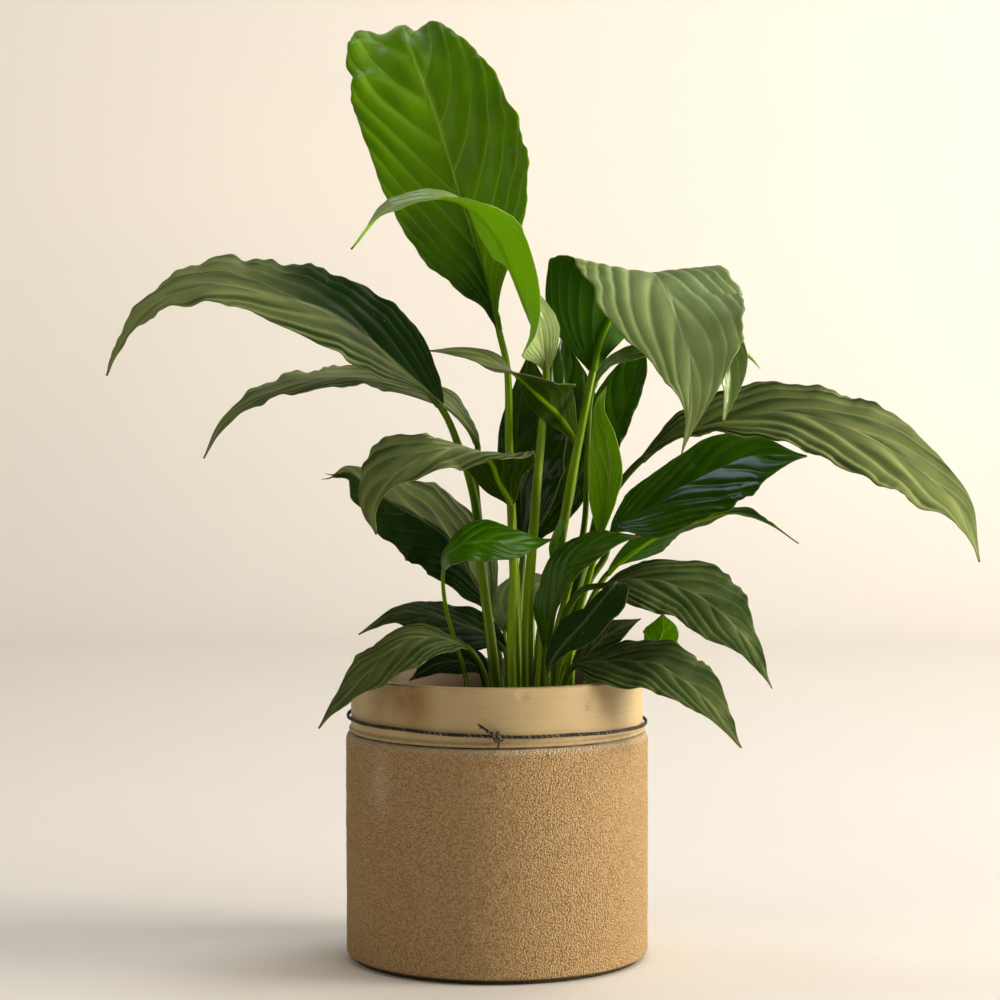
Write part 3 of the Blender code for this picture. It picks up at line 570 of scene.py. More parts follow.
@dataclass(frozen=True)
class StalkFinish:
    """Living leaf stalk, grown, smooth and moist: bright yellow green, deeper along some fibres, with a broken
    gloss and pale sheath edges.
    """

    bright: str = "#7c9e00"
    deep: str = "#2c4400"
    wing: str = "#c4d860"

    def material(self) -> bpy.types.Material:
        """The stalks' material: long fibres about 0.6 mm apart, and a paler sheath edge."""
        material, add = new_material("living leaf stalk, fibrous", {
            "Roughness": 0.33,
            "IOR": 1.42,
            "Specular IOR Level": 0.2,
            "Specular Tint": srgb("#e4ff9c"),
            "Coat Weight": 0.12,
            "Coat Roughness": 0.2,
            "Subsurface Weight": 0.25,
            "Subsurface Radius": (0.8, 1.0, 0.1),
            "Subsurface Scale": 0.002,
        })
        surface = add("UVMap", uv_map="surface")
        # UV is (share of the turn, mm along the stalk / 100), so the fibres stretch along the stalk.
        stretched = add("Mapping", {"Vector": surface, "Scale": (22.0, 2.2, 1.0)})
        fibre = add("TexNoise", (stretched, 1.0, 3.0))
        # One side of a stalk is often deeper than the other, for some centimetres.
        slow = add("Mapping", {"Vector": surface, "Scale": (2.2, 1.6, 1.0)})
        tone = add("TexNoise", (slow, 1.0, 1.0))
        both = add("Math", (fibre, 0.4, tone), operation="MULTIPLY_ADD")
        share = add("MapRange", (both, 0.45, 0.95, 0.0, 0.9))
        shade = add("Attribute", out="Fac", attribute_name="shade")
        share = add("Math", (share, shade), operation="ADD", use_clamp=True)
        green = add("Mix", (share, self.bright, self.deep), data_type="RGBA")
        wing = add("Attribute", out="Fac", attribute_name="wing")
        colour = add("Mix", (wing, green, self.wing), data_type="RGBA")
        ridges = add("Bump", {"Height": fibre, "Distance": 0.0001, "Strength": 0.5})
        return dress(material, Base_Color=colour, Normal=ridges)


def for_half(rows: Rows, half: int, t: Array) -> Array:
    """The row for the left (0) or right (1) half, read along the blade. A single row serves both halves."""
    return along(rows[half % len(rows)], t)


@dataclass(frozen=True)
class Leaf:
    """One leaf: its path from the soil to the tip, and how the blade opens on either side of it.

    foot is where the stalk stands on the soil, and stalk_radii are its radii there and at the blade. stalk and
    blade are points on the path, and the blade's first point is the junction. faces are the directions that the
    upper side looks in, evenly spaced along the blade. half_widths are the left and right halves, seen from
    above with the tip ahead, and edges are evenly spaced factors on them. skew moves each half's widest point:
    positive is nearer to the base. fold is the angle in degrees by which both halves rise from the midrib
    (base, middle, tip), and droop is how much that changes by the margin. ruffle is the height in mm of the
    margin's waves, and crest of waves from side to side where the far half of the blade arches over. veins is
    the number of main veins on each side, sweep how far they run along the blade (1 where they leave the midrib
    at about 40 degrees, more where they lie closer to it), and ribbing how deep the blade is quilted between
    them, in mm. shades are evenly spaced along the blade, 0 where its green is pale and 1 where it is deep: partly
    the leaf's own deeper green and partly painted shade, where a half of the blade turns away from the light.
    edges and shades have a row for each half, or one row for both. stalk_shade is the stalk's shade at its foot.
    dry_tip is the length in mm over which the tip has dried. threads are thin ends that go on from the blade,
    each its radius in mm, how dried it is (0 to 1), and points on its path.

    soil_top is where the stalks start, thickness the blade's, overlap how far a stalk runs on into its blade's
    foot, and ruffle_length and quick_length the margin's two waves, all in mm. crest_pitch is a crest's wave as a
    share of the half width. A blade narrower than narrow lies flat across. large is the length x width in square
    mm past which a blade has the large grid of rows and half columns.
    """

    name: str
    age: Age
    outline: Outline
    foot: tuple[float, ...]
    stalk_radii: tuple[float, float]
    half_widths: tuple[float, float]
    fold: tuple[float, ...]
    ruffle: float
    veins: float
    sweep: float
    ribbing: float
    stalk: Rows
    blade: Rows
    faces: Rows
    edges: Rows = ((1,),)
    skew: tuple[float, float] = (0, 0)
    droop: tuple[float, ...] = (0, 0, 0)
    crest: float = 0.0
    shades: Rows = ((0.5,),)
    stalk_shade: float = 0.1
    dry_tip: float = 3.0
    threads: tuple[tuple[float, float, Rows], ...] = ()

    soil_top = 120.3
    thickness = 0.45
    overlap = 6.0
    ruffle_length = 22.0
    quick_length = 8.3
    crest_pitch = 0.95
    narrow = 4.0
    large = 4200.0
    large_grid = (140, 30)
    small_grid = (88, 15)

    def path(self) -> tuple[Array, float]:
        """The whole path in fine steps, and the length of its stalk."""
        line = smooth_curve(((*self.foot, self.soil_top),) + self.stalk + self.blade)
        return line, float(lengths_along(line)[CURVE_STEPS * (1 + len(self.stalk))])

    def seed(self) -> int:
        """A number of the leaf's own, for its random features."""
        return sum(ord(letter) * place for place, letter in enumerate(self.name, 3))

    def half_width(self, half: int, t: Array) -> Array:
        """The width of one half: outline(t + skew x sin(pi t)) x half width x edge factor.

        Args:
            half: 0 for the left one, 1 for the right one.
            t: the shares of the blade's length.

        Returns:
            The width in mm at each.
        """
        outline = smooth_curve(self.outline.value, 12)
        share = np.interp(t + self.skew[half] * np.sin(np.pi * t), outline[:, 0], outline[:, 1])
        return share * self.half_widths[half] * for_half(self.edges, half, t)

    def vein_count(self, t: Array, s: Array) -> Array:
        """The veins counted along the blade, veins x (t - shift(s)), with a slow wander. They curve towards the
        tip, and the left half's stand between the right half's.

        Args:
            t: the share of the blade's length at each point.
            s: the share of the half width, negative on the left.

        Returns:
            The count at each point, a whole number on a vein.
        """
        reach = np.abs(s)
        wander = lattice_noise(t * 3, s + 7, self.seed()) * 0.16
        shift = self.sweep * (0.2 * reach + 0.3 * reach**2) * np.sqrt(1 - t)
        return self.veins * (t - shift) + wander + np.where(s < 0, 0.5, 0) * (reach / 0.05).clip(0, 1)

    def arc(self, t: Array, reach: Array, widths: Array) -> tuple[Array, Array]:
        """A half's cross section for a width of 1: an arc whose slope runs from the fold angle at the midrib to
        fold + droop at the margin.

        Args:
            t: the share of the blade's length in each row.
            reach: the share of the half width in each column.
            widths: the half width at each point, in mm.

        Returns:
            How far outward and how far upward each point lies.
        """
        flatten = (widths.min(1, keepdims=True) / self.narrow).clip(0, 1)
        first = np.radians(along(self.fold, t))[:, None] * flatten
        change = np.radians(along(self.droop, t))[:, None] * flatten + 1e-6
        outward = (np.sin(first + change * reach) - np.sin(first)) / change
        upward = (np.cos(first) - np.cos(first + change * reach)) / change
        return outward, upward

    def relief(self, t: Array, s: Array, widths: Array, vein: Array, length: float) -> tuple[list[Array], Array]:
        """The blade's waves, all fading to nothing at its foot and tip as sqrt(sin(pi t)).

        The ruffle is ruffle x (1.2 s^2 sin(beat) + 0.4 s^4 sin(quick)), where beat takes 22 mm and quick 8.3 mm
        a wave, both unevenly. The quilt is ribbing x (|sin(pi vein)|^0.7 - 0.6), shallower at the midrib, at
        the margin and where the blade is narrow. A swell of 0.5 mm wanders over all of it, and the crest is
        crest x cos(2 pi s / 0.95). The margin goes in and out with the quilt, the beat and the quick waves.

        Args:
            t: the share of the blade's length at each point.
            s: the share of the half width, negative on the left.
            widths: the half width at each point, in mm.
            vein: the veins counted along the blade.
            length: the blade's length in mm.

        Returns:
            The heights in mm of the four, and the margin's factor on the outward distance.
        """
        reach, left, seed = np.abs(s), s < 0, self.seed()
        open_ends = np.sqrt(np.sin(np.pi * t).clip(0))
        travelled = 2 * np.pi * t * length
        beat = travelled / self.ruffle_length + np.where(left, 0, 2.1) + 2 * lattice_noise(t * 5, 5.0 * left, 8)
        quick = travelled / self.quick_length + 4 * lattice_noise(t * 9, 3.0 * left, seed + 1)
        some = 0.5 + 0.5 * lattice_noise(t * 7, 9.0 * left + 3, seed + 3)
        ruffle = self.ruffle * open_ends * some * (1.2 * reach**2 * np.sin(beat) + 0.4 * reach**4 * np.sin(quick))
        bulge = np.abs(np.sin(np.pi * vein)) ** 0.7 - 0.6
        quilt = bulge * self.ribbing * open_ends * (reach / 0.12).clip(0, 1) * (widths / 12).clip(0.15, 1)
        quilt = quilt * (1 - 0.7 * reach**4)
        swell = lattice_noise(t * 4, s * 1.3 + 5, seed + 2) * 0.5 * open_ends * reach
        far = ((t - 0.55) / 0.25).clip(0, 1)
        crest = self.crest * far**2 * (3 - 2 * far) * open_ends * np.cos(2 * np.pi * s / self.crest_pitch)
        waves = 0.02 * bulge + 0.05 * np.sin(beat + 2) + 0.02 * np.sin(quick + 1)
        return [ruffle, quilt, swell, crest], 1 + reach**3 * open_ends * some * waves

    def blade_shell(self) -> Shell:
        """The blade: a sheet whose middle is midrib(t) + outward x side + upward x normal, where outward and
        upward are the arc and the relief, with half its thickness on either side and the midrib under it.

        Returns:
            The closed blade and its threads, with their veins, sides and distances as attributes.
        """
        line, stalk_length = self.path()
        length = lengths_along(line)[-1] - stalk_length
        rows, half_columns = self.large_grid if sum(self.half_widths) * length > self.large else self.small_grid
        row = np.linspace(0, 1, rows)
        midrib, tangent = stations(line, stalk_length + row * length)
        facing = along(unit(np.asarray(self.faces, float)), row)
        normal = unit(facing - (facing * tangent).sum(-1, keepdims=True) * tangent)
        side = np.cross(tangent, normal)
        # Columns crowd towards the midrib, where the blade turns most.
        spread = np.linspace(-1, 1, 2 * half_columns + 1)
        s = (np.sign(spread) * np.abs(spread) ** 1.15)[None]
        reach = np.abs(s)
        widths = np.where(s < 0, *(self.half_width(half, row)[:, None] for half in (0, 1)))
        t = np.broadcast_to(row[:, None], widths.shape)
        vein = self.vein_count(t, s)
        outward, upward = self.arc(row, reach, widths)
        heights, scallop = self.relief(t, s, widths, vein, length)
        outward = outward * widths * np.sign(s) * scallop
        upward = sum(heights, upward * widths)
        middle = midrib[:, None] + outward[..., None] * side[:, None] + upward[..., None] * normal[:, None]
        skin = unit(np.cross(np.gradient(middle, axis=1), np.gradient(middle, axis=0)))
        # The midrib stands out below, tapering from the stalk's radius, and above only at the blade's foot.
        offset = reach * widths
        taper = self.stalk_radii[1] * np.array([0.86, 0.65, 0.42, 0.1])
        radius = np.interp(row, (0, 0.05, 0.3, 1), taper)[:, None]
        rib = radius * np.exp(-((offset / (0.85 * radius)) ** 2))
        foot = 0.75 * rib * np.exp(-t / 0.035)
        above = middle + skin * (self.thickness / 2 + foot)[..., None]
        below = middle - skin * (self.thickness / 2 + 1.2 * rib)[..., None]
        # The shade rows paint the leaf's deeper green together with painted shade. The left half's shade runs on to
        # just past the midrib.
        shade = np.where(s < 0.06, *(for_half(self.shades, half, row)[:, None] for half in (0, 1)))
        grids = {
            "vein": vein,
            "offset": offset,
            "edge": (1 - reach) * widths,
            "shade": shade * np.ones_like(t),
            "dry": ((t - 1) * length / self.dry_tip + 1).clip(0, 1) ** 1.5,
        }
        values = {label: np.tile(grid.ravel(), 2) for label, grid in grids.items()}
        values["side"] = np.repeat([1.0, 0.0], t.size)
        uv = np.stack([t, np.broadcast_to((s + 1) / 2, t.shape)], -1).reshape(-1, 2)
        points = np.vstack([above.reshape(-1, 3), below.reshape(-1, 3)])
        blade = Shell(points, sheet_faces(*t.shape), np.vstack([uv, uv]), values)
        return joined([blade] + [self.thread_shell(*thread) for thread in self.threads])

    def thread_shell(self, radius: float, dried: float, route: Rows) -> Shell:
        """A thread that tapers to a radius of 0.12 mm.

        Args:
            radius: its radius at the blade, in mm.
            dried: how dried it is, 0 to 1.
            route: points on its path.

        Returns:
            The closed thread, with the blade's attributes.
        """
        line = smooth_curve(route)
        centres, tangents = stations(line, np.linspace(0, lengths_along(line)[-1], 24))
        shell = swept(centres, tangents, np.linspace(radius, 0.12, 24)[:, None] * np.ones(8))
        shell.uv = np.zeros((len(shell.points), 2))
        level = {"vein": 0.25, "side": 1.0, "offset": 9.0, "edge": 9.0, "shade": dried, "dry": dried}
        shell.values = {label: np.full(len(shell.points), value) for label, value in level.items()}
        return shell

    def stalk_shell(self) -> Shell:
        """The stalk: a tube with a shallow groove in front and, low down, the two thin wings of its sheath.
        radius = taper x (0.97 - 0.14 groove + 0.42 wing x sheath), where groove and wing are narrow bells round
        the turn and sheath fades out upwards. It runs 6 mm into the blade's foot and tapers there.

        Returns:
            The closed stalk, with UV (share of the turn, mm / 100), the wing's strength and the shade.
        """
        line, stalk_length = self.path()
        rings, sides = max(16, int(stalk_length / 2.6)), 20
        centres, tangents = stations(line, np.linspace(0, stalk_length + self.overlap, rings))
        tangents[0] = (0, 0, 1)
        share = np.linspace(0, 1, rings)[:, None]
        inside = ((share * (stalk_length + self.overlap) - stalk_length) / self.overlap).clip(0, 1)
        turn = np.arange(sides)[None] * 2 * np.pi / sides
        taper = self.stalk_radii[0] + (self.stalk_radii[1] - self.stalk_radii[0]) * share**0.8
        taper = taper * (1 - 0.16 * (share / 0.9).clip(0, 1) ** 3) * (1 - 0.6 * inside)
        facing = (self.seed() % 7 - 3) * 0.35

        def bell(middle: float, width: float) -> Array:
            """A bump round the turn: exp(-(angle from the middle / width)^2)."""
            away = np.abs((turn - middle - facing + np.pi) % (2 * np.pi) - np.pi)
            return np.exp(-((away / width) ** 2))

        sheath = (1 - share / 0.38).clip(0, 1) ** 0.6
        wing = (bell(0.7, 0.22) + bell(-0.7, 0.22)) * sheath
        radii = taper * (0.97 - 0.14 * bell(0, 0.45) + 0.42 * wing)
        shell = swept(centres, tangents, radii)
        shell.uv = tube_uv(turn, share * stalk_length, radii.shape)
        top = ((share - 0.75) / 0.25).clip(0, 1)
        shell.values = {"wing": wing, "shade": np.broadcast_to(self.stalk_shade + 0.25 * top, radii.shape)}
        return shell


def sheet_faces(rows: int, columns: int) -> list[Any]:
    """The faces of a closed sheet whose two sides are grids, the upper one first.

    Args:
        rows: the number of rows in each.
        columns: the number of points in a row.

    Returns:
        The point numbers of each face.
    """
    upper = quads_of(rows, columns, False)
    index = np.arange(rows * columns).reshape(rows, columns)
    border = np.concatenate([index[0, :], index[1:, -1], index[-1, -2::-1], index[-2:0:-1, 0]])
    following = np.roll(border, -1)
    below = rows * columns
    edge = np.column_stack([border, border + below, following + below, following])
    return np.vstack([upper, upper[:, ::-1] + below, edge]).tolist()


@dataclass
class Plant:
    """The peace lily: every leaf's blade and stalk."""

    leaves: tuple[Leaf, ...]

    def build(self) -> None:
        """Build and dress the leaves, with one material for each age."""
        skins = {age: age.value.material() for age in Age}
        stalk_skin = StalkFinish().material()
        for leaf in self.leaves:
            leaf.blade_shell().piece(leaf.name + "_blade", skins[leaf.age], leaf.name + "_leaf",
                                     leaf.age.value.slot)
            leaf.stalk_shell().piece(leaf.name + "_petiole", stalk_skin, leaf.name + "_stalk", "stalk")


# Each leaf's shades mix its own deeper green with painted shade where a half turns away from the light.
LEAVES = (
    Leaf("tall", Age.FRESH, Outline.TALL, foot=(11, -4), stalk_radii=(3, 2), half_widths=(39, 40), skew=(0.05, 0.1),
         fold=(50, 12, 0), droop=(0, -8, -20), ruffle=2.3, crest=3.0, veins=8, sweep=1.25, ribbing=1.2,
         stalk_shade=-0.3, stalk=((10, -4, 157), (7, -4, 226), (6, -3, 256), (5, -2, 292)),
         blade=((1, 0, 310), (-7, -6, 341), (-19, -13, 379), (-30, -13, 415), (-41, -3, 444), (-46, 13, 458),
                (-49, 35, 460), (-51, 54, 454)),
         faces=((-0.5, -0.86, 0), (-0.3, -0.95, 0.1), (-0.1, -1, 0.1), (0, -0.95, 0.3), (0, 0.4, 0.9)),
         edges=((0.6, 1.2, 1.15, 1, 0.95, 0.93, 0.97, 0.95, 1.08, 1.3, 1.3),
                (1.1, 1.1, 1.18, 1.1, 1.04, 0.92, 0.88, 0.8, 0.8, 0.8, 0.8)),
         shades=((1.1, 0.8, 0.3, 0.15, 0.1, 0), (0.5, 0, 0.4, 0.4, 0.4, 0.1))),
    Leaf("narrow", Age.TENDER, Outline.LANCE, foot=(15, -14), stalk_radii=(3, 2.2), half_widths=(16, 14),
         fold=(15, 15, 10), ruffle=0.6, veins=5, sweep=2.2, ribbing=0.3, stalk_shade=-0.25,
         stalk=((15, -15, 168), (19, -14, 227), (22, -8, 261)),
         blade=((24, -11, 291), (20, -24, 306), (13, -43, 323), (6, -58, 339), (-2, -62, 355), (-17, -67, 369),
                (-34, -70, 371), (-53, -74, 364), (-68, -75, 347)),
         faces=((-0.2, -1, 0.1), (0.3, -0.9, 0.3), (0.9, 0.3, 0.4), (0.6, 0.7, 0.5), (0.1, -0.2, 0.97),
                (-0.2, -0.45, 0.85), (-0.8, 0.3, 0.5)), edges=((1.8, 1.6, 1.2, 1, 1, 1, 1, 1, 1.3, 1.8, 2),),
         shades=((0, 0, 0.5, 0.6, 0.5, 0.4),)),
    Leaf("left_long", Age.OLIVE, Outline.LANCE, foot=(1, -11), stalk_radii=(2.9, 2.1), half_widths=(20, 33),
         fold=(25, -8, 0), ruffle=1.4, veins=5, sweep=1.7, ribbing=1.3, stalk_shade=0.15, dry_tip=6,
         stalk=((-3, -11, 158), (-8, -12, 197), (-11, -11, 227), (-18, -8, 251)),
         blade=((-28, -5, 273), (-49, -14, 293), (-75, -26, 315), (-105, -37, 326), (-135, -46, 331),
                (-161, -51, 323), (-177, -54, 306), (-185, -56, 288)),
         faces=((0.4, -0.6, 0.6), (0.1, -0.6, 0.8), (0, -0.55, 0.85), (-0.2, -0.5, 0.8), (-0.8, -0.5, 0.4)),
         edges=((0.6, 1.4, 1.7, 1.7, 1.5, 1.1, 0.95, 1, 0.9, 0.9, 0.9),
                (1.4, 1.4, 1.15, 1, 1.15, 1.3, 1.3, 1.1, 0.8, 1, 1)),
         shades=((0.7, 0.4, 0.3, 0.2, 0.2, 0.2), (1.3, 1.3, 0.9, 0.3, 0.1, 0.1))),
    Leaf("left_lower", Age.OLIVE, Outline.LANCE, foot=(1, 2), stalk_radii=(2.6, 1.9), half_widths=(18, 22),
         fold=(10, -8, 0), ruffle=1.2, veins=4.5, sweep=1.7, ribbing=0.9, stalk_shade=0.7, dry_tip=5,
         stalk=((-3, 3, 157), (-7, 6, 196), (-10, 12, 226), (-11, 19, 241)),
         blade=((-10, 24, 254), (-23, 24, 271), (-43, 21, 281), (-68, 16, 287), (-98, 10, 284), (-123, 5, 274),
                (-136, 2, 263), (-145, 0, 247)),
         faces=((0.5, -0.3, 0.8), (0.1, -0.3, 0.95), (0, -0.25, 0.97), (-0.2, -0.35, 0.9), (-0.8, -0.4, 0.4)),
         edges=((0.7, 0.7, 0.75, 0.8, 0.75, 0.6, 0.75, 0.6, 0.6, 1, 1.2),
                (1.3, 1.3, 1.3, 1.5, 1.7, 1.8, 1.5, 1.4, 1.1, 1.05, 1)), shades=((0.7, 0.15, 0.3), (0.7, 0, 0.2))),
    Leaf("folded", Age.PALE, Outline.BROAD, foot=(24, -14), stalk_radii=(3, 2.3), half_widths=(35, 40),
         skew=(-0.1, 0.2), fold=(20, 0, 5), ruffle=1.2, veins=5, sweep=2.4, ribbing=1.0, stalk_shade=-0.25,
         stalk=((24, -15, 158), (32, -17, 212), (38, -15, 246), (44, -11, 276)),
         blade=((47, -8, 290), (52, -3, 308), (62, -2, 326), (74, -13, 338), (82, -42, 325), (88, -58, 306),
                (91, -66, 287), (91, -69, 271), (87, -64, 251)),
         faces=((-0.3, 0.95, 0.1), (-0.35, 0.85, 0.4), (-0.08, 0.2, 0.95), (0.2, -0.7, 0.6), (0, -0.95, 0.3),
                (0, -1, 0.1), (-0.1, -1, 0)),
         edges=((1.1, 1.1, 1.1, 1.15, 1.15, 1.12, 0.95, 0.85, 0.61, 0.35, 0.3),
                (1.1, 1.15, 1.2, 1.1, 1, 1.1, 1.3, 1.35, 1.5, 0.6, 0.3)),
         shades=((0.45, 0.3, 0.35), (0.45, 0.2, 0.25))),
    Leaf("right_long", Age.OLIVE, Outline.BROAD, foot=(32, -4), stalk_radii=(2.8, 2.1), half_widths=(30, 22),
         fold=(20, -6, 0), ruffle=1.4, veins=4.6, sweep=1.8, ribbing=1.2, stalk_shade=0.6, dry_tip=6,
         stalk=((34, -4, 157), (46, -5, 207), (58, -3, 231)),
         blade=((71, 0, 246), (84, -5, 256), (99, -9, 262), (118, -16, 267), (140, -22, 270), (163, -28, 265),
                (187, -33, 254), (210, -36, 237), (224, -37, 223), (233, -35, 198)),
         faces=((-0.5, -0.5, 0.7), (0, -0.65, 0.76), (0.1, -0.65, 0.75), (0.3, -0.6, 0.7), (0.7, -0.6, 0.3)),
         edges=((0.8, 0.85, 0.88, 0.82, 0.76, 0.87, 1, 0.92, 0.97, 1.1, 1.2),
                (0.6, 0.5, 0.45, 0.9, 1, 1.08, 1.25, 1.25, 1.5, 1.3, 0.6)),
         shades=((0.75, 0.35, 0.35, 0.4, 0.5), (0.5, 0, 0.1, 0.15, 0.3))),
    Leaf("right_glossy", Age.DEEP, Outline.LANCE, foot=(30, -10), stalk_radii=(2.4, 1.9), half_widths=(18, 24),
         fold=(15, 8, 10), ruffle=0.7, veins=5, sweep=1.7, ribbing=0.6, stalk_shade=0.4,
         stalk=((36, -13, 163), (45, -14, 187), (53, -12, 199)),
         blade=((57, -10, 212), (71, -5, 220), (88, 1, 231), (108, 6, 241), (127, 9, 248), (154, 6, 248)),
         faces=((-0.5, -0.75, 0.3), (-0.3, -0.75, 0.6), (0, -0.8, 0.6)),
         edges=((1.2, 1.2, 1, 0.85, 0.85, 1, 1.2, 1.3, 1.3, 1.3, 1.3),
                (1.7, 1.6, 1.4, 1.2, 1.2, 1.28, 1.3, 1.42, 1.8, 1.8, 1)), shades=((0.2, 0.3, 0.4), (0.2, 0.4, 0.5))),
    Leaf("right_light", Age.BRIGHT, Outline.LANCE, foot=(35, 5), stalk_radii=(2.3, 1.7), half_widths=(15, 15),
         fold=(10, 5, 10), ruffle=0.8, veins=5, sweep=1.6, ribbing=0.5, stalk=((39, 8, 156), (47, 9, 176)),
         blade=((55, 10, 189), (67, 12, 199), (84, 17, 209), (102, 20, 215), (119, 20, 219), (136, 18, 214),
                (151, 15, 204)),
         faces=((-0.5, 0.6, 0.6), (-0.3, 0.6, 0.75), (-0.1, 0.3, 0.95), (0.1, 0.2, 0.95), (0.3, -0.1, 0.9)),
         edges=((0.5, 0.8, 1.3, 1.6, 1.6, 1.4, 1.2, 1, 1, 1, 1),
                (1, 1, 0.93, 0.6, 0.6, 0.7, 0.85, 1.05, 1.3, 1.3, 1.3)), shades=((1, 0.8, 0.2),)),
    Leaf("inner_arched", Age.DEEP, Outline.LANCE, foot=(25, -26), stalk_radii=(2.1, 1.7), half_widths=(10, 13),
         fold=(15, 8, 5), ruffle=1, veins=5, sweep=1.7, ribbing=0.8, stalk=((24, -24, 135),),
         blade=((24, -23, 152), (25, -28, 168), (29, -34, 183), (34, -40, 196), (44, -47, 205), (55, -53, 210),
                (68, -57, 212)), faces=((-0.6, -0.8, 0), (-0.5, -0.8, 0.3), (-0.3, -0.7, 0.6), (-0.2, -0.6, 0.8)),
         edges=((0.8, 0.9, 1.08, 1.08, 1.1, 1.13, 1.28, 1.35, 1.6, 1.8, 1.8),
                (0.6, 0.5, 0.4, 0.3, 0.35, 0.6, 0.93, 1.3, 1.7, 1.8, 1.7)), shades=((0.4, 0.3, 0.4),)),
    Leaf("right_ribbed", Age.OLIVE, Outline.BROAD, foot=(30, -20), stalk_radii=(2.3, 1.8), half_widths=(16, 18),
         fold=(15, -6, 0), ruffle=1.4, veins=6, sweep=1.5, ribbing=1.3, stalk_shade=0.4,
         stalk=((29, -22, 149), (34, -29, 174), (42, -34, 185)),
         blade=((52, -37, 187), (62, -41, 190), (74, -44, 190), (87, -47, 187), (99, -49, 181), (112, -50, 170),
                (122, -48, 158), (132, -46, 138)), faces=((0, -0.7, 0.7), (0.1, -0.7, 0.7), (0.4, -0.75, 0.55)),
         edges=((1, 1, 1, 1.1, 1.35, 1.5, 1.35, 0.95, 0.65, 0.6, 0.6),
                (1.4, 1.9, 1.6, 1.25, 1, 1, 1, 0.75, 0.72, 0.62, 0.5)), shades=((0.6, 0.8, 0.95), (0.55, 0.8, 0.95))),
    Leaf("right_rim", Age.OLIVE, Outline.LANCE, foot=(30, -30), stalk_radii=(2.2, 1.8), half_widths=(18, 17),
         fold=(15, -6, 0), ruffle=1.2, veins=6, sweep=1.5, ribbing=1.2, stalk=((32, -29, 136),),
         blade=((37, -32, 147), (49, -38, 150), (62, -44, 151), (76, -48, 150), (88, -50, 143), (101, -51, 132),
                (117, -51, 110)), faces=((0, -0.6, 0.8), (0.1, -0.6, 0.8), (0.5, -0.65, 0.55)),
         edges=((0.5, 0.5, 0.8, 0.9, 1, 1.2, 1.35, 1.4, 1.3, 1.3, 1.3),
                (1.8, 1.8, 1.45, 1.25, 1.05, 0.92, 0.93, 0.85, 0.85, 0.85, 0.85)),
         shades=((0.65, 0.65, 0.8), (0.65, 0.7, 0.8))),
    Leaf("inner_droop", Age.OLIVE, Outline.BROAD, foot=(26, -33), stalk_radii=(1.8, 1.5), half_widths=(13, 13),
         fold=(10, -10, 5), droop=(0, -20, 0), ruffle=0.6, veins=6, sweep=1.5, ribbing=0.6,
         stalk=((29, -34, 138), (33, -38, 153), (44, -42, 169), (53, -47, 182)),
         blade=((57, -54, 189), (55, -61, 188), (48, -64, 180), (40, -62, 170), (32, -59, 161), (26, -55, 152),
                (24, -53, 144)), faces=((-0.2, -0.6, 0.8), (-0.2, -0.8, 0.6), (-0.2, -0.9, 0.4)),
         edges=((1.4, 1.4, 1.25, 0.9, 0.8, 0.77, 0.63, 0.45, 0.45, 0.45, 0.45),
                (0.5, 0.5, 0.5, 0.45, 0.5, 0.85, 1, 0.88, 0.8, 0.8, 0.8)), shades=((1.2, 1.1, 1),)),
    Leaf("inner_olive", Age.OLIVE, Outline.LANCE, foot=(35, -23), stalk_radii=(1.4, 1.1), half_widths=(8, 8),
         fold=(10, 5, 5), ruffle=0.4, veins=5, sweep=1.6, ribbing=0.6, stalk=((36, -24, 135),),
         blade=((37, -24, 146), (44, -24, 152), (53, -24, 161), (62, -25, 166), (70, -27, 170)),
         faces=((-0.3, -0.9, 0.3),), shades=((0.7,),)),
    Leaf("backlit", Age.FRESH, Outline.BROAD, foot=(38, 19), stalk_radii=(1.6, 1.1), half_widths=(9, 9),
         fold=(10, 5, 5), ruffle=0.5, veins=4, sweep=1.4, ribbing=0.3,
         stalk=((44, 20, 131), (53, 20, 147), (64, 20, 152)),
         blade=((73, 20, 149), (80, 19, 153), (83, 18, 160), (83, 16, 169)), faces=((0.2, 0.9, 0.2),),
         shades=((0.3,),)),
    Leaf("left_ribbed", Age.OLIVE, Outline.BROAD, foot=(8, -22), stalk_radii=(2.7, 1.9), half_widths=(33, 24),
         skew=(0.15, 0), fold=(15, -4, 0), ruffle=1.6, veins=5.5, sweep=1.6, ribbing=1.2, stalk_shade=-0.3,
         stalk=((7, -22, 159), (8, -25, 198), (7, -26, 214)),
         blade=((7, -26, 225), (1, -26, 236), (-3, -30, 246), (-13, -44, 253), (-29, -57, 253), (-42, -63, 246),
                (-53, -66, 236), (-58, -64, 225), (-57, -62, 213)),
         faces=((0.2, 0.95, 0.2), (0.3, 0.8, 0.5), (0.1, -0.1, 1), (-0.1, -0.55, 0.85), (-0.3, -0.6, 0.7),
                (-0.5, -0.7, 0.4), (-0.5, -0.8, 0.1)),
         edges=((0.8, 0.8, 0.8, 0.9, 0.75, 0.6, 0.65, 0.6, 0.4, 0.35, 0.3),
                (1, 1, 1, 1.2, 0.85, 0.7, 1.2, 1.35, 1.4, 1.4, 1.4)), shades=((0.3, 0.2, 0.4, 0.5),)),
    Leaf("left_dark", Age.OLIVE, Outline.BROAD, foot=(3, 17), stalk_radii=(2.4, 1.9), half_widths=(23, 36),
         fold=(-5, -14, -5), ruffle=1.3, veins=6, sweep=1.6, ribbing=1.1, stalk_shade=0.3, stalk=((1, 23, 145),),
         blade=((-4, 23, 169), (-12, 17, 186), (-23, 10, 205), (-35, 5, 215), (-47, 0, 222), (-62, -8, 232),
                (-73, -16, 241), (-80, -20, 239)), faces=((0.3, -0.75, 0.6),),
         edges=((0.85, 0.84, 0.82, 0.95, 1, 0.96, 0.96, 0.96, 0.95, 1.4, 1.8),
                (1.6, 1.4, 1, 0.8, 0.84, 0.88, 0.68, 0.6, 0.6, 0.6, 0.6)), shades=((1.5, 1.5, 1.2), (0.3, 0.2, 0.3)),
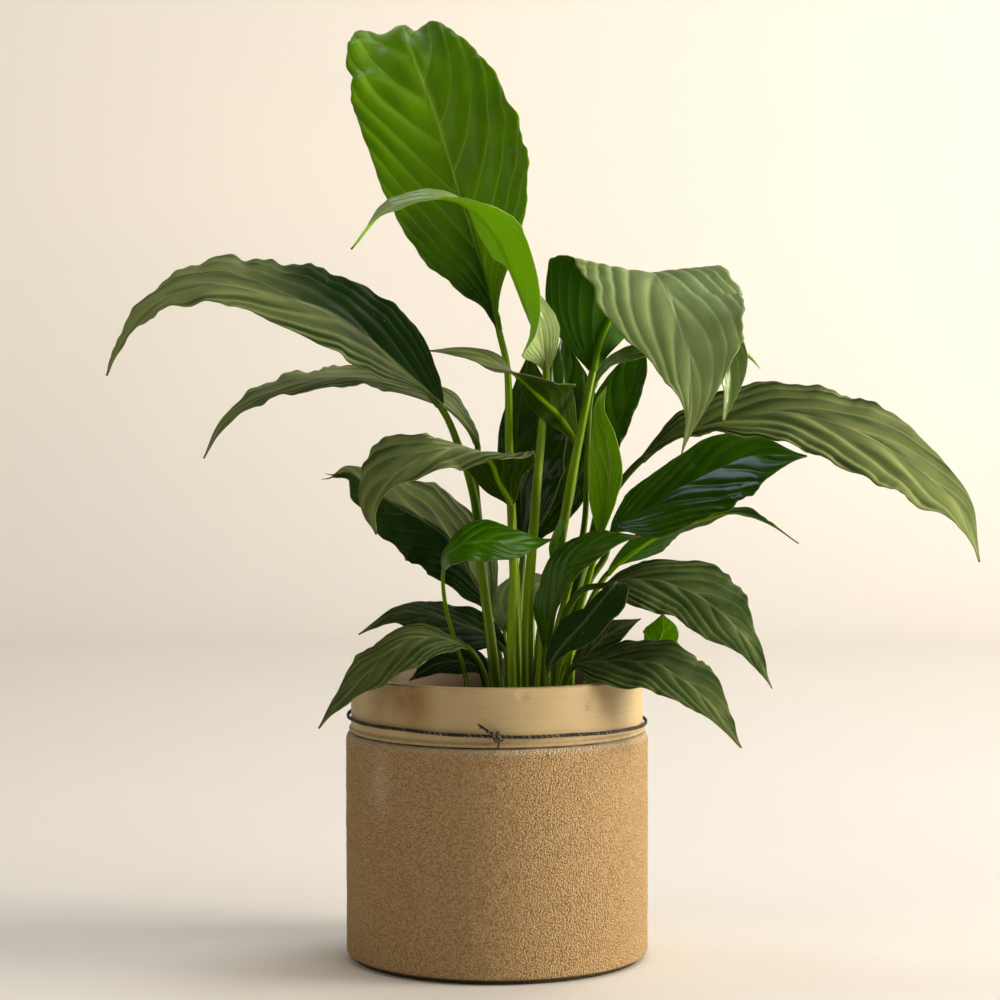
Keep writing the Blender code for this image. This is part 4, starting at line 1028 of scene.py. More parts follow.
         threads=((0.5, 1, ((-78.5, -20, 239.6), (-82, -20.4, 238), (-85.6, -20.6, 237.6))),
                  (0.5, 1, ((-77, -19, 240.2), (-80.6, -20.2, 239.7), (-83.6, -20.8, 240.4))))),
    Leaf("small_bright", Age.BRIGHT, Outline.BROAD, foot=(-14, -25), stalk_radii=(1.3, 1.1), half_widths=(12, 12),
         skew=(-0.08, 0), fold=(10, 0, 5), droop=(0, -15, 0), ruffle=0.6, veins=5, sweep=1.6, ribbing=0.5, dry_tip=7,
         stalk=((-15, -24, 140), (-20, -24, 157), (-25, -31, 177)),
         blade=((-26, -39, 193), (-24, -45, 202), (-17, -49, 207), (-6, -49, 209), (9, -48, 208), (20, -46, 208),
                (27, -47, 210)), faces=((-0.6, -0.7, 0.3), (-0.2, -0.75, 0.65), (0.1, -0.75, 0.65)),
         edges=((0.6, 0.6, 0.6, 0.85, 1.15, 1.3, 1, 0.8, 0.77, 0.73, 0.73),
                (0.9, 0.9, 0.9, 0.88, 0.85, 0.9, 0.93, 0.92, 0.78, 0.77, 0.77)), shades=((0.6, 0.5, 0.5),)),
    Leaf("left_rim", Age.OLIVE, Outline.LANCE, foot=(-3, -24), stalk_radii=(2.4, 1.8), half_widths=(14, 12),
         fold=(12, -8, 0), ruffle=1.1, veins=6, sweep=1.6, ribbing=1.1, stalk_shade=0.4, stalk=((-7, -26, 144),),
         blade=((-14, -31, 156), (-25, -38, 161), (-41, -47, 162), (-53, -51, 155), (-65, -54, 143), (-76, -56, 131),
                (-85, -56, 120)), faces=((0, -0.6, 0.8), (-0.3, -0.6, 0.75), (-0.5, -0.7, 0.5)),
         edges=((1.2, 1.2, 1.2, 1.3, 1.25, 1.2, 1.1, 0.8, 0.75, 0.5, 0.4),
                (0.7, 0.7, 0.93, 0.95, 0.88, 1.05, 1.4, 1.35, 1.15, 1.5, 1.6)), shades=((0.5, 0.55, 0.65),)),
    Leaf("left_behind", Age.OLIVE, Outline.LANCE, foot=(7, 7), stalk_radii=(2.2, 1.6), half_widths=(13, 11),
         fold=(8, -6, 0), ruffle=1, veins=5, sweep=1.5, ribbing=0.45, stalk=((6, 11, 131),),
         blade=((4, 14, 150), (-4, 14, 158), (-18, 9, 164), (-36, 0, 170), (-50, -7, 171), (-60, -11, 166),
                (-68, -14, 161)), faces=((0.1, -0.7, 0.7), (0, -0.65, 0.75), (-0.3, -0.7, 0.6)),
         edges=((1.2, 1.3, 1.35, 1.25, 1.15, 1.14, 1.13, 1.13, 1.05, 0.8, 0.8),
                (1.2, 1.4, 1.45, 1.2, 1.07, 1.08, 0.92, 0.66, 0.6, 0.6, 0.6)), shades=((1.1, 0.9, 0.6),)),
    Leaf("inside_left", Age.OLIVE, Outline.LANCE, foot=(-5, -18), stalk_radii=(1.8, 1.3), half_widths=(10, 10),
         fold=(15, 5, 5), ruffle=0.7, veins=5, sweep=1.6, ribbing=0.6, stalk=(),
         blade=((-5, -18, 141), (-14, -14, 147), (-28, -15, 147), (-43, -20, 139)), faces=((0, -0.6, 0.8),),
         shades=((1.1,),)),
    Leaf("back_left", Age.DEEP, Outline.BROAD, foot=(13, 13), stalk_radii=(2.4, 1.9), half_widths=(13, 27),
         fold=(20, 10, 5), ruffle=1.2, veins=4, sweep=1.8, ribbing=0.6, stalk=((11, 14, 166),),
         blade=((13, 18, 202), (12, 25, 225), (10, 33, 250), (12, 42, 275), (17, 48, 302)),
         faces=((-0.25, -0.95, 0.1),), edges=((0.75, 0.75, 0.75, 0.75, 0.75, 0.74, 0.74, 0.68, 0.62, 0.7, 0.7), (1,)),
         shades=((0.8,),)),
    Leaf("back_mid", Age.DEEP, Outline.BROAD, foot=(18, 19), stalk_radii=(2.4, 1.9), half_widths=(20, 22),
         fold=(20, 10, 5), ruffle=1.2, veins=4, sweep=1.8, ribbing=0.6, stalk=((17, 24, 165),),
         blade=((18, 32, 202), (24, 41, 221), (31, 53, 246), (35, 64, 275), (34, 67, 310)),
         faces=((0.3, -0.95, 0.1),), shades=((0.9,),)),
    Leaf("back_right", Age.DEEP, Outline.BROAD, foot=(31, 12), stalk_radii=(2.3, 1.8), half_widths=(16, 11),
         fold=(15, 10, 5), ruffle=1.2, veins=4, sweep=1.8, ribbing=0.6, stalk=((38, 15, 166), (47, 20, 205)),
         blade=((53, 23, 233), (57, 30, 250), (64, 38, 270), (70, 42, 288), (75, 42, 307)),
         faces=((-0.2, -0.95, 0.1),), edges=((1,), (0.55, 0.55, 0.53, 0.53, 0.53, 0.56, 0.62, 0.68, 0.95, 1.1, 1.1)),
         shades=((0.6,),)),
    Leaf("centre_under", Age.OLIVE, Outline.LANCE, foot=(20, -3), stalk_radii=(2.4, 1.8), half_widths=(17, 8),
         fold=(10, 10, 10), ruffle=0.8, veins=5, sweep=1.7, ribbing=0.6,
         stalk=((21, -3, 157), (31, -1, 206), (38, 3, 236)),
         blade=((39, 3, 253), (32, -6, 266), (21, -30, 277), (8, -42, 289), (-5, -46, 297), (-18, -48, 300),
                (-32, -48, 300)),
         faces=((-0.8, 0.55, 0.3), (-0.5, 0.7, 0.5), (0.1, 0.1, 0.95), (-0.2, -0.6, 0.75), (-0.2, -0.8, 0.5)),
         shades=((0.4,),)),
    Leaf("rolled", Age.FRESH, Outline.LANCE, foot=(34, -16), stalk_radii=(2.2, 1.7), half_widths=(12, 12),
         fold=(60, 35, 50), droop=(0, 20, 0), ruffle=0.5, veins=4, sweep=2, ribbing=0.3, stalk_shade=-0.2,
         stalk=((37, -20, 159), (45, -23, 191)),
         blade=((50, -25, 208), (53, -25, 225), (55, -26, 242), (53, -28, 259), (50, -29, 274), (53, -29, 283)),
         faces=((-0.3, -0.95, 0),), shades=((-0.2,),)),
    Leaf("behind_fold", Age.TENDER, Outline.LANCE, foot=(26, -3), stalk_radii=(2, 1.5), half_widths=(18, 18),
         fold=(20, 20, 30), ruffle=0.9, veins=4, sweep=1.8, ribbing=0.4,
         stalk=((29, 3, 157), (43, 5, 211), (45, 6, 251)),
         blade=((48, 8, 282), (55, 8, 293), (70, -2, 299), (90, -14, 304), (104, -26, 305), (111, -34, 297),
                (112, -38, 282), (108.5, -40, 266)),
         faces=((-0.4, -0.6, 0.6), (-0.2, -0.7, 0.7), (0.2, -0.7, 0.7), (0.2, -0.95, 0), (0.2, -0.95, 0)),
         edges=((0.4, 0.4, 0.4, 0.4, 0.45, 0.5, 0.6, 0.85, 1, 1, 1),), shades=((0.9, 0.6), (1, 0.7)),
         threads=((2.4, 0, ((110, -30, 305), (117, -31, 301), (123, -33, 296), (127, -34, 291))),)),
    Leaf("young_spear", Age.BRIGHT, Outline.LANCE, foot=(20, -21), stalk_radii=(1.8, 1.4), half_widths=(4, 4),
         fold=(30, 30, 30), ruffle=0, veins=4, sweep=1.8, ribbing=0.2, stalk_shade=-0.3,
         stalk=((20, -21, 134), (22, -21, 159), (25, -23, 183)),
         blade=((27, -23, 197), (29, -24, 205), (31, -25, 213), (31, -26, 221)), faces=((-0.2, -0.95, 0),),
         shades=((0.1,),)),
    Leaf("back_pale", Age.PALE, Outline.LANCE, foot=(7, 25), stalk_radii=(1.8, 1.3), half_widths=(12, 12),
         fold=(10, 5, 5), ruffle=0.6, veins=4, sweep=1.8, ribbing=0.3, stalk=((5, 27, 144),),
         blade=((4, 30, 158), (7, 37, 172), (16, 43, 180), (25, 45, 182), (33, 46, 181)), faces=((-0.3, -0.7, 0.6),),
         shades=((0.2,),)),
)


# The planter, its soil and its cord


@dataclass(frozen=True)
class SandCast:
    """Cast stone with a coat of coarse sand on the body: dull, gritty and pitted, tan, with painted shade darkening
    the hollows between its grains. The neck above the shoulder is the bare cast, smoother and paler, with faint
    brush lines, chips and a stain.

    marks are places on the neck: its X, Y and Z in mm, its size in mm, and the colour there. stained and rubbed
    are the places, in the same way, of the neck's stain and of the pale patch on the sand.
    """

    sand: str = "#b99566"
    sand_dark: str = "#aa8658"
    pit_shade: str = "#4e3a20"
    crest: str = "#e4c28a"
    scuff: str = "#d9cdb2"
    neck: str = "#b69e72"
    neck_dark: str = "#a08254"
    stain: str = "#7c5820"
    collar: str = "#85704c"
    inside: str = "#6e5a42"
    groove: str = "#3e3018"
    foot: str = "#4f4730"
    marks: tuple[tuple[float, float, float, float, str], ...] = (
        (10, -72, 138, 6, "#d6be8c"),
        (14, -71, 137, 5, "#94703c"),
        (44, -58, 130.5, 6, "#7e6440"),
        (-50, -53, 126, 9, "#9c845c"),
    )
    stained: tuple[float, float, float, float] = (-42, -59, 137, 22)
    rubbed: tuple[float, float, float, float] = (-56, -50, 92, 12)

    def coat(self, add: AddNode, place: Any, height: Any, top: float) -> tuple[Any, Any]:
        """The sand coat of the body.

        Args:
            add: add_node for the material's tree.
            place: the Object coordinates.
            height: their Z.
            top: the coat's upper end in mm.

        Returns:
            Its colour, and the height of its grit.
        """
        # Sand grains of about 1 mm, packed like cells, each with a tone of its own, on softer lumps of about the
        # same size. The hollows between them are painted darker: painted shade.
        grains = add("TexVoronoi", (place, 1100.0), out="Distance")
        own = add("TexVoronoi", (place, 1100.0), out="Color")
        lumps = add("TexNoise", (place, 1000.0, 3.0, 0.6))
        grit = add("Math", (grains, -1.2, lumps), operation="MULTIPLY_ADD")
        patch = add("TexNoise", (place, 14.0, 3.0))
        tone = add("MapRange", (patch, 0.35, 0.7, 0.0, 0.6))
        crest = add("MapRange", (own, 0.3, 0.7, 0.0, 0.35))
        pit_shade = add("MapRange", (grains, 0.4, 0.7, 0.0, 0.4))
        # The rubbed patch is twice as high as it is wide, and the coat's upper end is a little whiter all round.
        x, y, z, size = metres(*self.rubbed)
        taller = add("Mapping", {"Vector": place, "Scale": (1.0, 1.0, 0.5)})
        away = add("VectorMath", (taller, (x, y, z * 0.5)), operation="DISTANCE")
        rubbed = add("MapRange", (away, 0.0, size, 0.55, 0.0), interpolation_type="SMOOTHSTEP")
        rubbed = add("Math", (rubbed, lumps), operation="MULTIPLY")
        rim = add("MapRange", (height, *metres(top - 3.2, top - 0.4), 0.0, 0.45))
        pale = add("Math", (rubbed, rim), operation="MAXIMUM")
        colour = self.sand
        for share, over in ((tone, self.sand_dark), (crest, self.crest), (pit_shade, self.pit_shade), (pale, self.scuff)):
            colour = add("Mix", (share, colour, over), data_type="RGBA")
        return colour, grit

    def bare(self, add: AddNode, place: Any, height: Any, cloud: Any,
             planter: "Planter") -> tuple[Any, Any]:
        """The bare cast of the neck and the inside.

        Args:
            add: add_node for the material's tree.
            place: the Object coordinates.
            height: their Z.
            cloud: a noise of about 15 mm.
            planter: gives the neck's radius and where it begins.

        Returns:
            Its colour, and the height of its brush lines.
        """
        # Faint brush lines run round the neck, about 1 mm apart and 20 mm long.
        flat = add("Mapping", {"Vector": place, "Scale": (30.0, 30.0, 800.0)})
        brushed = add("TexNoise", (flat, 1.0, 3.0))
        lines = add("MapRange", (brushed, 0.45, 0.75, 0.0, 0.28))
        patches = add("MapRange", (cloud, 0.48, 0.75, 0.0, 0.4))
        *centre, size = metres(*self.stained)
        away = add("VectorMath", (place, centre), operation="DISTANCE")
        stain = add("MapRange", (away, 0.0, size, 1.7, 0.0), interpolation_type="SMOOTHSTEP")
        stain = add("Math", (stain, cloud), operation="MULTIPLY", use_clamp=True)
        layers = [(lines, self.neck_dark), (patches, self.neck_dark), (stain, self.stain)]
        # Each mark is a patch of ragged flecks 1 to 2 mm long, thicker towards its middle.
        flatter = add("Mapping", {"Vector": place, "Scale": (1.0, 1.0, 2.0)})
        ragged = add("TexNoise", (flatter, 420.0, 4.0, 0.7))
        for *mark, colour in self.marks:
            *centre, size = metres(*mark)
            away = add("VectorMath", (place, centre), operation="DISTANCE")
            near = add("MapRange", (away, 0.0, size, 0.25, 0.0), interpolation_type="SMOOTHSTEP")
            flecks = add("Math", (near, ragged), operation="ADD")
            flecks = add("MapRange", (flecks, 0.62, 0.74, 0.0, 0.45))
            near = add("Math", (near, 4.0), operation="MULTIPLY")
            layers.append((add("Math", (flecks, near), operation="MULTIPLY"), colour))
        # The low collar under the cord is dirtier and chipped, and inside, the cast is darker.
        collar = add("MapRange", (height, *metres(planter.shoulder + 4.6, planter.shoulder + 3.0)))
        worn = add("MapRange", (ragged, 0.42, 0.6, 0.12, 0.5))
        worn = add("Math", (collar, worn), operation="MULTIPLY")
        axis = add("Mapping", {"Vector": place, "Scale": (1.0, 1.0, 0.0)})
        radius = add("VectorMath", (axis,), operation="LENGTH")
        within = add("MapRange", (radius, *metres(planter.neck - 3.0, planter.neck - 5.5), 0.0, 0.9))
        colour = self.neck
        for share, over in (*layers, (worn, self.collar), (within, self.inside)):
            colour = add("Mix", (share, colour, over), data_type="RGBA")
        return colour, brushed

    def material(self, planter: "Planter") -> bpy.types.Material:
        """The planter's material, by height and by places on it.

        Args:
            planter: gives the heights where one finish ends and the next begins.

        Returns:
            The material, on Object coordinates.
        """
        material, add = new_material("sand-coated cast stone", {"IOR": 1.5, "Specular IOR Level": 0.3})
        place = add("TexCoord", out="Object")
        height = add("SeparateXYZ", (place,), out="Z")
        cloud = add("TexNoise", (place, 60.0, 4.0))
        top = planter.shoulder
        colour, grit = self.coat(add, place, height, top)
        bare, brushed = self.bare(add, place, height, cloud, planter)
        smooth = add("MapRange", (height, *metres(top - 0.1, top + 0.15)))
        # Painted shade darkens the thin groove above the shoulder, more in some places than others.
        groove = add("Math", (height, *metres(top + 0.45, 0.4)), operation="COMPARE")
        groove_shade = add("MapRange", (cloud, 0.35, 0.6, 0.6, 1.0))
        groove_shade = add("Math", (groove, groove_shade), operation="MULTIPLY")
        low = add("MapRange", (height, *metres(3.2, 2.2)))
        for share, over in ((smooth, bare), (groove_shade, self.groove), (low, self.foot)):
            colour = add("Mix", (share, colour, over), data_type="RGBA")
        rough = add("MapRange", (smooth, 0.0, 1.0, 0.95, 0.62))
        gritty = add("Bump", {"Height": grit, "Distance": 0.001, "Strength": 1.0})
        lines = add("Bump", {"Height": brushed, "Distance": 0.00015, "Strength": 0.4})
        normal = add("Mix", (smooth, gritty, lines), data_type="VECTOR")
        return dress(material, Base_Color=colour, Roughness=rough, Normal=normal)


@dataclass
class Planter:
    """The planter: one cast cylinder, sand-coated up to its shoulder, with a bare neck and a recessed foot.

    edge, brow and lip are the radii of its lower edge, its shoulder and its rim. grain is the depth of the sand
    coat's bumps, and drift of the slow unevenness.
    """

    radius: float = 75.0
    height: float = 141.0
    shoulder: float = 112.0
    neck: float = 72.5
    wall: float = 6.5
    floor: float = 8.0
    foot: float = 71.0
    edge: float = 2.4
    brow: float = 2.2
    lip: float = 1.1
    sides: int = 520
    grain: float = 0.1
    drift: float = 0.15
    finish: SandCast = SandCast()

    # The points of the rim and the inside in the profile, which have no sand.
    unsanded = 20

    def profile(self) -> Array:
        """The section from the middle of the underside, up the outside and down the inside, with rounded edges
        and a point every 0.9 mm or so on the sand coat.

        Returns:
            Radius and height at each point.
        """
        r, n, z, top = self.radius, self.neck, self.shoulder, self.height - self.lip
        inner = n - self.wall
        bend = np.linspace(0, np.pi / 2, 7)
        under = np.column_stack([r - self.edge + self.edge * np.sin(bend), 4.4 - self.edge * np.cos(bend)])
        body = np.column_stack([np.full(116, r), np.linspace(4.9, z - 4, 116)])
        over = np.column_stack([r - self.brow + self.brow * np.cos(bend), z - 3.4 + 3.3 * np.sin(bend)])
        bead = np.array([(n + 0.2, z), (n - 0.3, z + 0.35), (n - 0.2, z + 0.9), (n + 0.7, z + 1.1),
                         (n + 1.0, z + 1.4), (n + 1.0, z + 2.2), (n + 0.7, z + 2.6), (n, z + 3.2)])
        wall = np.column_stack([np.full(19, n), np.linspace(z + 4.2, self.height - 1.6, 19)])
        rim = np.column_stack([n - self.lip + self.lip * np.cos(bend), top + self.lip * np.sin(bend)])
        back = np.column_stack([inner + self.lip - self.lip * np.sin(bend), top + self.lip * np.cos(bend)])
        inside = np.array([(inner, 132), (inner, 122), (inner, 90), (inner, 50), (inner, self.floor + 4),
                           (inner - 1.2, self.floor + 1.2), (inner - 4, self.floor)])
        start = np.array([(0, 0), (self.foot - 20, 0), (self.foot, 0), (self.foot, 1.9), (r - 2.6, 2.0)])
        return np.vstack([start, under, body, over, bead, wall, rim, back, inside, [(0, self.floor)]])

    def shell(self) -> Shell:
        """The turned profile, moved along its radius by grain x (1.6 mm bumps + 0.7 x 3.4 mm bumps - 0.6) on
        the sand coat, fading out over its ends, and by a drift over some 50 mm on the outside above the foot.

        Returns:
            The closed planter.
        """
        profile = self.profile()
        grid, poles, faces = turned(profile, self.sides)
        z = grid[..., 2]
        radius = np.hypot(grid[..., 0], grid[..., 1])
        length = lengths_along(np.column_stack([profile[1:-1], np.zeros(len(profile) - 2)]))[:, None]
        path = np.broadcast_to(length, z.shape)
        turn = np.broadcast_to(np.arange(self.sides) / self.sides, z.shape)

        def bumps(size: float, seed: int, count: int) -> Array:
            """Bumps of this size in mm along the profile, and this many round the planter."""
            return lattice_noise(turn * count, path / size, seed, count)

        around = 2 * np.pi * self.radius
        grit, lumps = (bumps(size, seed, int(around / size)) for size, seed in ((1.6, 11), (3.4, 12)))
        outside = length < length[-self.unsanded]
        coat = ((self.shoulder + 0.3 - z) / 1.5).clip(0, 1) * ((z - 2.1) / 1.2).clip(0, 1) * outside
        sand = (grit + 0.7 * lumps) * coat - 0.6 * coat
        slow = (bumps(45, 13, 9) - 1) * ((z > 2.05) * outside)
        grid[..., :2] *= ((radius + self.grain * sand + self.drift * slow) / radius)[..., None]
        return Shell(np.vstack([grid.reshape(-1, 3), poles]), faces)

    def build(self) -> None:
        """Build and dress the planter."""
        self.shell().piece("sand_cast_planter", self.finish.material(self), "pot", "cast_stone")


@dataclass(frozen=True)
class PottingMix:
    """Damp potting mix, loose and crumbly: nearly black brown, matt, with paler bits of bark."""

    earth: str = "#2a1e15"
    crumb: str = "#4a3423"
    bark: str = "#6d5035"

    def material(self) -> bpy.types.Material:
        """The soil's material: 2 mm crumbs, and a few 5 mm bits of bark."""
        material, add = new_material("potting mix, damp and crumbly", {"Roughness": 0.95})
        place = add("TexCoord", out="Object")
        crumb = add("TexNoise", (place, 500.0, 5.0))
        bit = add("TexVoronoi", (place, 190.0), out="Color")
        share = add("MapRange", (crumb, 0.4, 0.65))
        earth = add("Mix", (share, self.earth, self.crumb), data_type="RGBA")
        bark = add("MapRange", (bit, 0.7, 0.8))
        earth = add("Mix", (bark, earth, self.bark), data_type="RGBA")
        bump = add("Bump", {"Height": crumb, "Distance": 0.002, "Strength": 1.0})
        return dress(material, Base_Color=earth, Normal=bump)


@dataclass
class SoilBed:
    """The soil that fills the planter, with a crumbly top. margin is how far the crumbs stay from the wall."""

    radius: float = 65.7
    bottom: float = 8.3
    top: float = 120.0
    margin: float = 0.6
    crumb: float = 2.5
    lump: float = 7.0
    rough: float = 1.1
    sides: int = 220

    def build(self) -> None:
        """Build and dress the soil. Its top is top + rough x (crumbs + 0.9 x lumps), flat at the wall."""
        crown = np.column_stack([np.linspace(self.radius - self.margin, 1.0, 60), np.full(60, self.top)])
        wall = np.array([(0, self.bottom), (self.radius - 4, self.bottom), (self.radius, self.bottom + 4),
                         (self.radius, 60), (self.radius, self.top - 3)])
        profile = np.vstack([wall, crown, [(0, self.top)]])
        grid, poles, faces = turned(profile, self.sides)
        x, y = grid[..., 0], grid[..., 1]
        crumbs = lattice_noise(x / self.crumb + 60, y / self.crumb + 60, 21)
        lumps = lattice_noise(x / self.lump + 40, y / self.lump + 40, 22)
        inward = ((self.radius - self.margin - np.hypot(x, y)) / 2).clip(0, 1)
        grid[..., 2] += np.where(grid[..., 2] > self.top - 1, self.rough * (crumbs + 0.9 * lumps) * inward, 0)
        shell = Shell(np.vstack([grid.reshape(-1, 3), poles]), faces)
        shell.piece("potting_mix", PottingMix().material(), "potting_soil", "soil")


@dataclass(frozen=True)
class WaxedTwine:
    """Jute twine, twisted from two strands and waxed: dark brown with paler worn fibres and a dull gloss."""

    dark: str = "#1e1610"
    worn: str = "#8d8069"

    def material(self) -> bpy.types.Material:
        """The twine's material: fibres 0.15 mm wide, drawn at 0.3 mm so that they show, worn pale in flecks."""
        material, add = new_material("waxed jute twine, twisted", {"Roughness": 0.65, "Specular IOR Level": 0.25})
        surface = add("UVMap", uv_map="surface")
        stretched = add("Mapping", {"Vector": surface, "Scale": (9.0, 60.0, 1.0)})
        fibre = add("TexNoise", (stretched, 1.0, 4.0))
        place = add("TexCoord", out="Object")
        worn = add("TexNoise", (place, 160.0, 2.0))
        crown = add("Attribute", out="Fac", attribute_name="crown")
        shown = add("Math", (fibre, crown), operation="MULTIPLY")
        shown = add("Math", (worn, 0.8, shown), operation="MULTIPLY_ADD")
        share = add("MapRange", (shown, 0.78, 1.05, 0.0, 0.8))
        colour = add("Mix", (share, self.dark, self.worn), data_type="RGBA")
        bump = add("Bump", {"Height": fibre, "Distance": 0.0003, "Strength": 0.8})
        return dress(material, Base_Color=colour, Normal=bump)


@dataclass
class NeckCord:
    """The twine tied once round the neck, a little out of level, with its knot and two ends in front.

    slim is the ring's share of the twine's radius, lobe how far the two strands stand out as a share of it,
    pitch the length in mm of a twist, twists how many there are round the ring, and frays the fibres at an end.
    """

    neck: float = 72.5
    gap: float = 0.3
    radius: float = 1.0
    slim: float = 0.86
    height: float = 118.6
    tilt: float = 1.6
    lobe: float = 0.24
    pitch: float = 5.6
    twists: int = 82
    steps: int = 900
    sides: int = 14
    frays: int = 5

    def strand(self, centres: Array, tangents: Array, scale: Array, closed: bool = False) -> Shell:
        """Two-ply twine along a path: radius x (1 - lobe + lobe x |cos(turn - twist)|), so that two rounded
        strands wind round each other. The twist is 2 pi x distance / pitch, and whole twists on a ring.

        Args:
            centres: points on the path.
            tangents: the path's direction at each.
            scale: the twine's radius at each point, in mm.
            closed: whether the path is a ring.

        Returns:
            The twine, with UV and the strands' crowns.
        """
        distance = lengths_along(centres)
        twist = 2 * np.pi * distance / self.pitch
        if closed:
            twist = np.arange(len(centres)) / len(centres) * 2 * np.pi * self.twists
        turn = np.arange(self.sides)[None] * 2 * np.pi / self.sides
        crown = np.abs(np.cos(turn - twist[:, None]))
        radii = scale[:, None] * (1 - self.lobe + self.lobe * crown)
        shell = swept(centres, tangents, radii, closed)
        shell.uv = tube_uv(turn, distance[:, None], radii.shape)
        shell.values = {"crown": crown}
        return shell

    def ring(self) -> Shell:
        """The ring round the neck: (R cos turn, R sin turn, height - tilt x cos turn), with slight slack."""
        turn = np.arange(self.steps) * 2 * np.pi / self.steps
        reach = self.neck + self.gap + self.radius
        slack = 0.22 * np.sin(5 * turn) + 0.12 * np.sin(11 * turn + 1)
        level = self.height - self.tilt * np.cos(turn) + slack
        centres = np.column_stack([reach * np.cos(turn), reach * np.sin(turn), level])
        tangents = unit(np.roll(centres, -1, axis=0) - np.roll(centres, 1, axis=0))
        return self.strand(centres, tangents, self.radius * self.slim * (1 + 0.06 * np.sin(23 * turn)), True)

    def tie(self, route: Rows, radii: tuple[float, ...]) -> Shell:
        """A piece of twine in front of the neck.

        Args:
            route: its points as (x, distance in front of the neck, z), in mm.
            radii: its radii, evenly spaced along it.

        Returns:
            The twine.
        """
        line = smooth_curve([(x, -self.neck - front, z) for x, front, z in route])
        wanted = np.linspace(0, lengths_along(line)[-1], max(12, int(lengths_along(line)[-1] / 0.3)))
        centres, tangents = stations(line, wanted)
        return self.strand(centres, tangents, along(radii, np.linspace(0, 1, len(wanted))))

    def knot(self) -> Shell:
        """The knot: two turns round the ring, a tuck over them, one frayed end up to the left and one down."""
        r = self.radius
        parts = [
            self.tie(((-2.2, 1.2, 119.6), (-2.0, 3.2, 120.2), (-1.2, 4.0, 118.6), (-0.8, 3.0, 116.6),
                      (-0.6, 1.2, 116.4)), (r * 0.9, r, r * 0.9)),
            self.tie(((0.4, 1.2, 120.2), (0.6, 3.4, 120.4), (1.0, 4.2, 118.8), (1.4, 3.2, 116.8),
                      (1.4, 1.2, 116.5)), (r * 0.9, r, r * 0.9)),
            self.tie(((2.6, 2.6, 117.2), (1.6, 4.6, 117.9), (-0.4, 5.0, 118.9), (-2.4, 4.2, 120.0),
                      (-4.6, 3.0, 121.4), (-6.4, 2.6, 122.8)), (r * 0.8, r * 0.95, r, r * 0.85, r * 0.6)),
            self.tie(((-1.6, 3.4, 119.4), (0.2, 4.2, 117.4), (0.9, 3.6, 115.6), (0.4, 3.0, 113.6)),
                     (r * 0.8, r * 0.95, r * 0.8, r * 0.55)),
        ]
        for k in range(self.frays):
            lean = (k - 2) * 0.55
            end = (-8.4 - 0.2 * k, 2.6 + 0.3 * abs(k - 2), 123.8 + lean)
            parts.append(self.tie(((-5.8, 2.7, 122.3), (-7.0, 2.6, 123.1 + 0.4 * lean), end), (0.42, 0.3, 0.16)))
        return joined(parts)

    def build(self) -> None:
        """Build and dress the cord and its knot."""
        twine = WaxedTwine().material()
        self.ring().piece("twisted_neck_cord", twine, "neck_cord", "cord")
        self.knot().piece("tied_knot", twine, "cord_knot", "cord")


# The studio


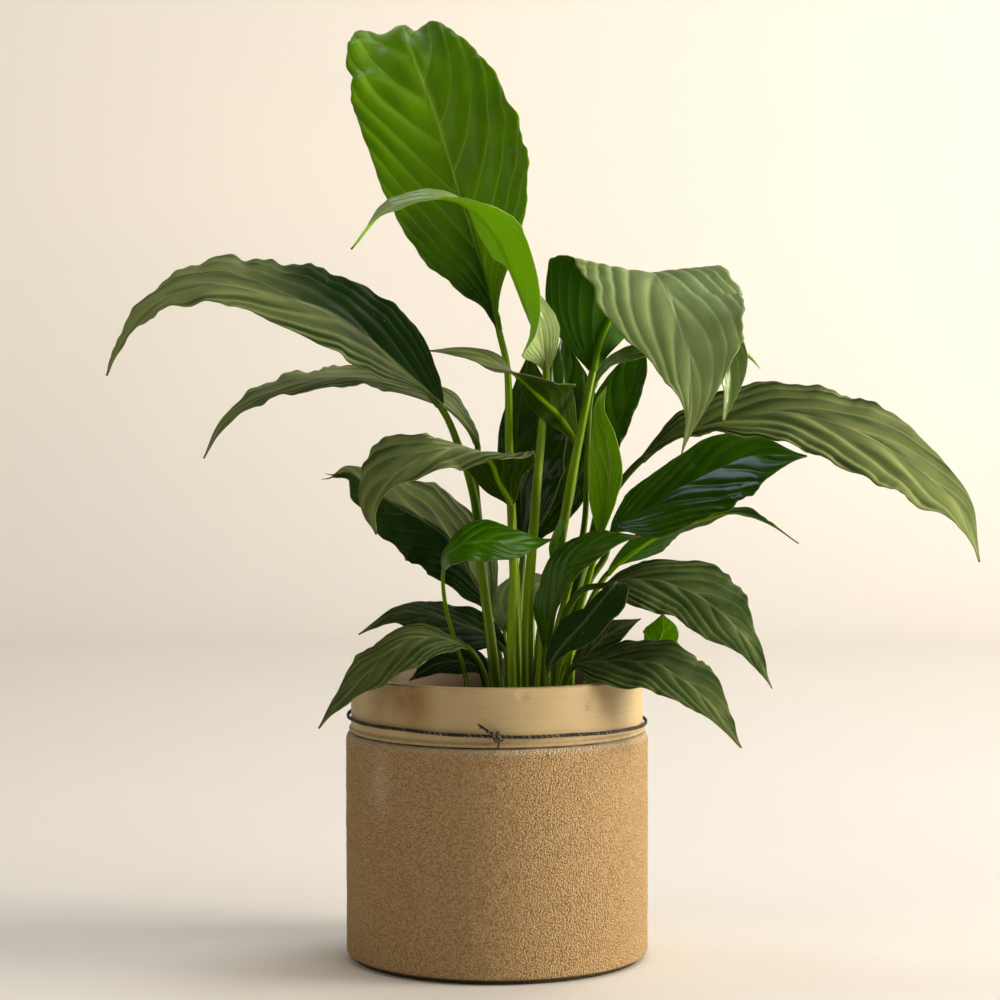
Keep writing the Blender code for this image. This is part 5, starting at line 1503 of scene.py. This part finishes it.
@dataclass
class Studio:
    """A plain pale floor and back wall, a large soft light from the right, and the photograph's camera.

    lights have a name, a place, a width and height in metres, a power in watts, and a colour. They look at the
    middle of the plant.
    """

    floor: str = "#f3ece0"
    mottle: str = "#ede6db"
    sky: str = "#f7f1e6"
    sky_strength: float = 0.13
    middle: float = 0.22
    lens: float = 102.357
    camera: tuple[float, float, float] = (-0.0005, -1.4048, 0.2926)
    pitch: float = 2.695
    yaw: float = -0.0815
    lights: tuple[tuple[str, tuple[float, float, float], tuple[float, float], float, str], ...] = (
        ("key", (2.45, -0.25, 0.5), (1.2, 1.2), 110.0, "#fffaf0"),
        ("top", (0.9, -0.9, 2.2), (1.2, 1.2), 14.0, "#fffaf2"),
        ("fill", (-2.4, -1.6, 0.9), (1.8, 1.8), 15.0, "#fbf6ea"),
        ("wall", (1.2, 1.2, 1.8), (1.2, 1.2), 13.0, "#fdfbff"),
        ("window", (-0.2, 0.3, 2.2), (0.7, 0.6), 8.0, "#d4e6ff"),
    )

    def sweep(self) -> None:
        """The floor and back wall as one sheet: a straight floor, a quarter turn of 0.5 m, a straight wall."""
        bend = np.linspace(0, np.pi / 2, 24)
        y = np.concatenate([[-3.0], 1.6 + 0.5 * np.sin(bend), [2.1]])
        z = np.concatenate([[0.0], 0.5 - 0.5 * np.cos(bend), [4.0]])
        x = np.linspace(-4, 4, 9)
        points = np.stack([np.tile(x, (len(y), 1)), np.tile(y[:, None], (1, 9)), np.tile(z[:, None], (1, 9))], -1)
        material, add = new_material("matt painted board", {"Roughness": 0.8})
        place = add("TexCoord", out="Object")
        share = add("TexNoise", (place, 3.0, 2.0))
        tone = add("Mix", (share, self.floor, self.mottle), data_type="RGBA")
        faces = quads_of(len(y), 9, False).tolist()
        new_object("studio_floor", points.reshape(-1, 3), faces, dress(material, Base_Color=tone))

    def build(self) -> None:
        """Set up the floor, the lights, the sky and the camera."""
        self.sweep()
        scene = bpy.context.scene
        for name, place, size, power, colour in self.lights:
            lamp = bpy.data.lights.new(name, "AREA")
            lamp.shape = "RECTANGLE"
            lamp.size, lamp.size_y = size
            lamp.energy = power
            lamp.color = srgb(colour)[:3]
            item = bpy.data.objects.new(name, lamp)
            item.location = place
            towards = Vector((-place[0], -place[1], self.middle - place[2]))
            item.rotation_euler = towards.to_track_quat("-Z", "Y").to_euler()
            scene.collection.objects.link(item)
        world = bpy.data.worlds.new("studio_sky")
        world.use_nodes = True
        background = world.node_tree.nodes["Background"]
        background.inputs["Color"].default_value = srgb(self.sky)
        background.inputs["Strength"].default_value = self.sky_strength
        scene.world = world
        lens = bpy.data.cameras.new("photo_camera")
        lens.lens = self.lens
        lens.sensor_width = 36.0
        lens.clip_end = 20.0
        camera = bpy.data.objects.new("photo_camera", lens)
        camera.location = self.camera
        camera.rotation_euler = (np.radians(90 - self.pitch), 0, np.radians(self.yaw))
        scene.collection.objects.link(camera)
        scene.camera = camera
        scene.view_settings.view_transform = "Standard"


def main() -> None:
    """Build the studio, the planter, its soil and cord, and the plant."""
    logging.basicConfig(level=logging.INFO, format="%(message)s")
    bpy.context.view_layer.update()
    Studio().build()
    Planter().build()
    SoilBed().build()
    NeckCord().build()
    Plant(LEAVES).build()


if __name__ == "__main__":
    main()
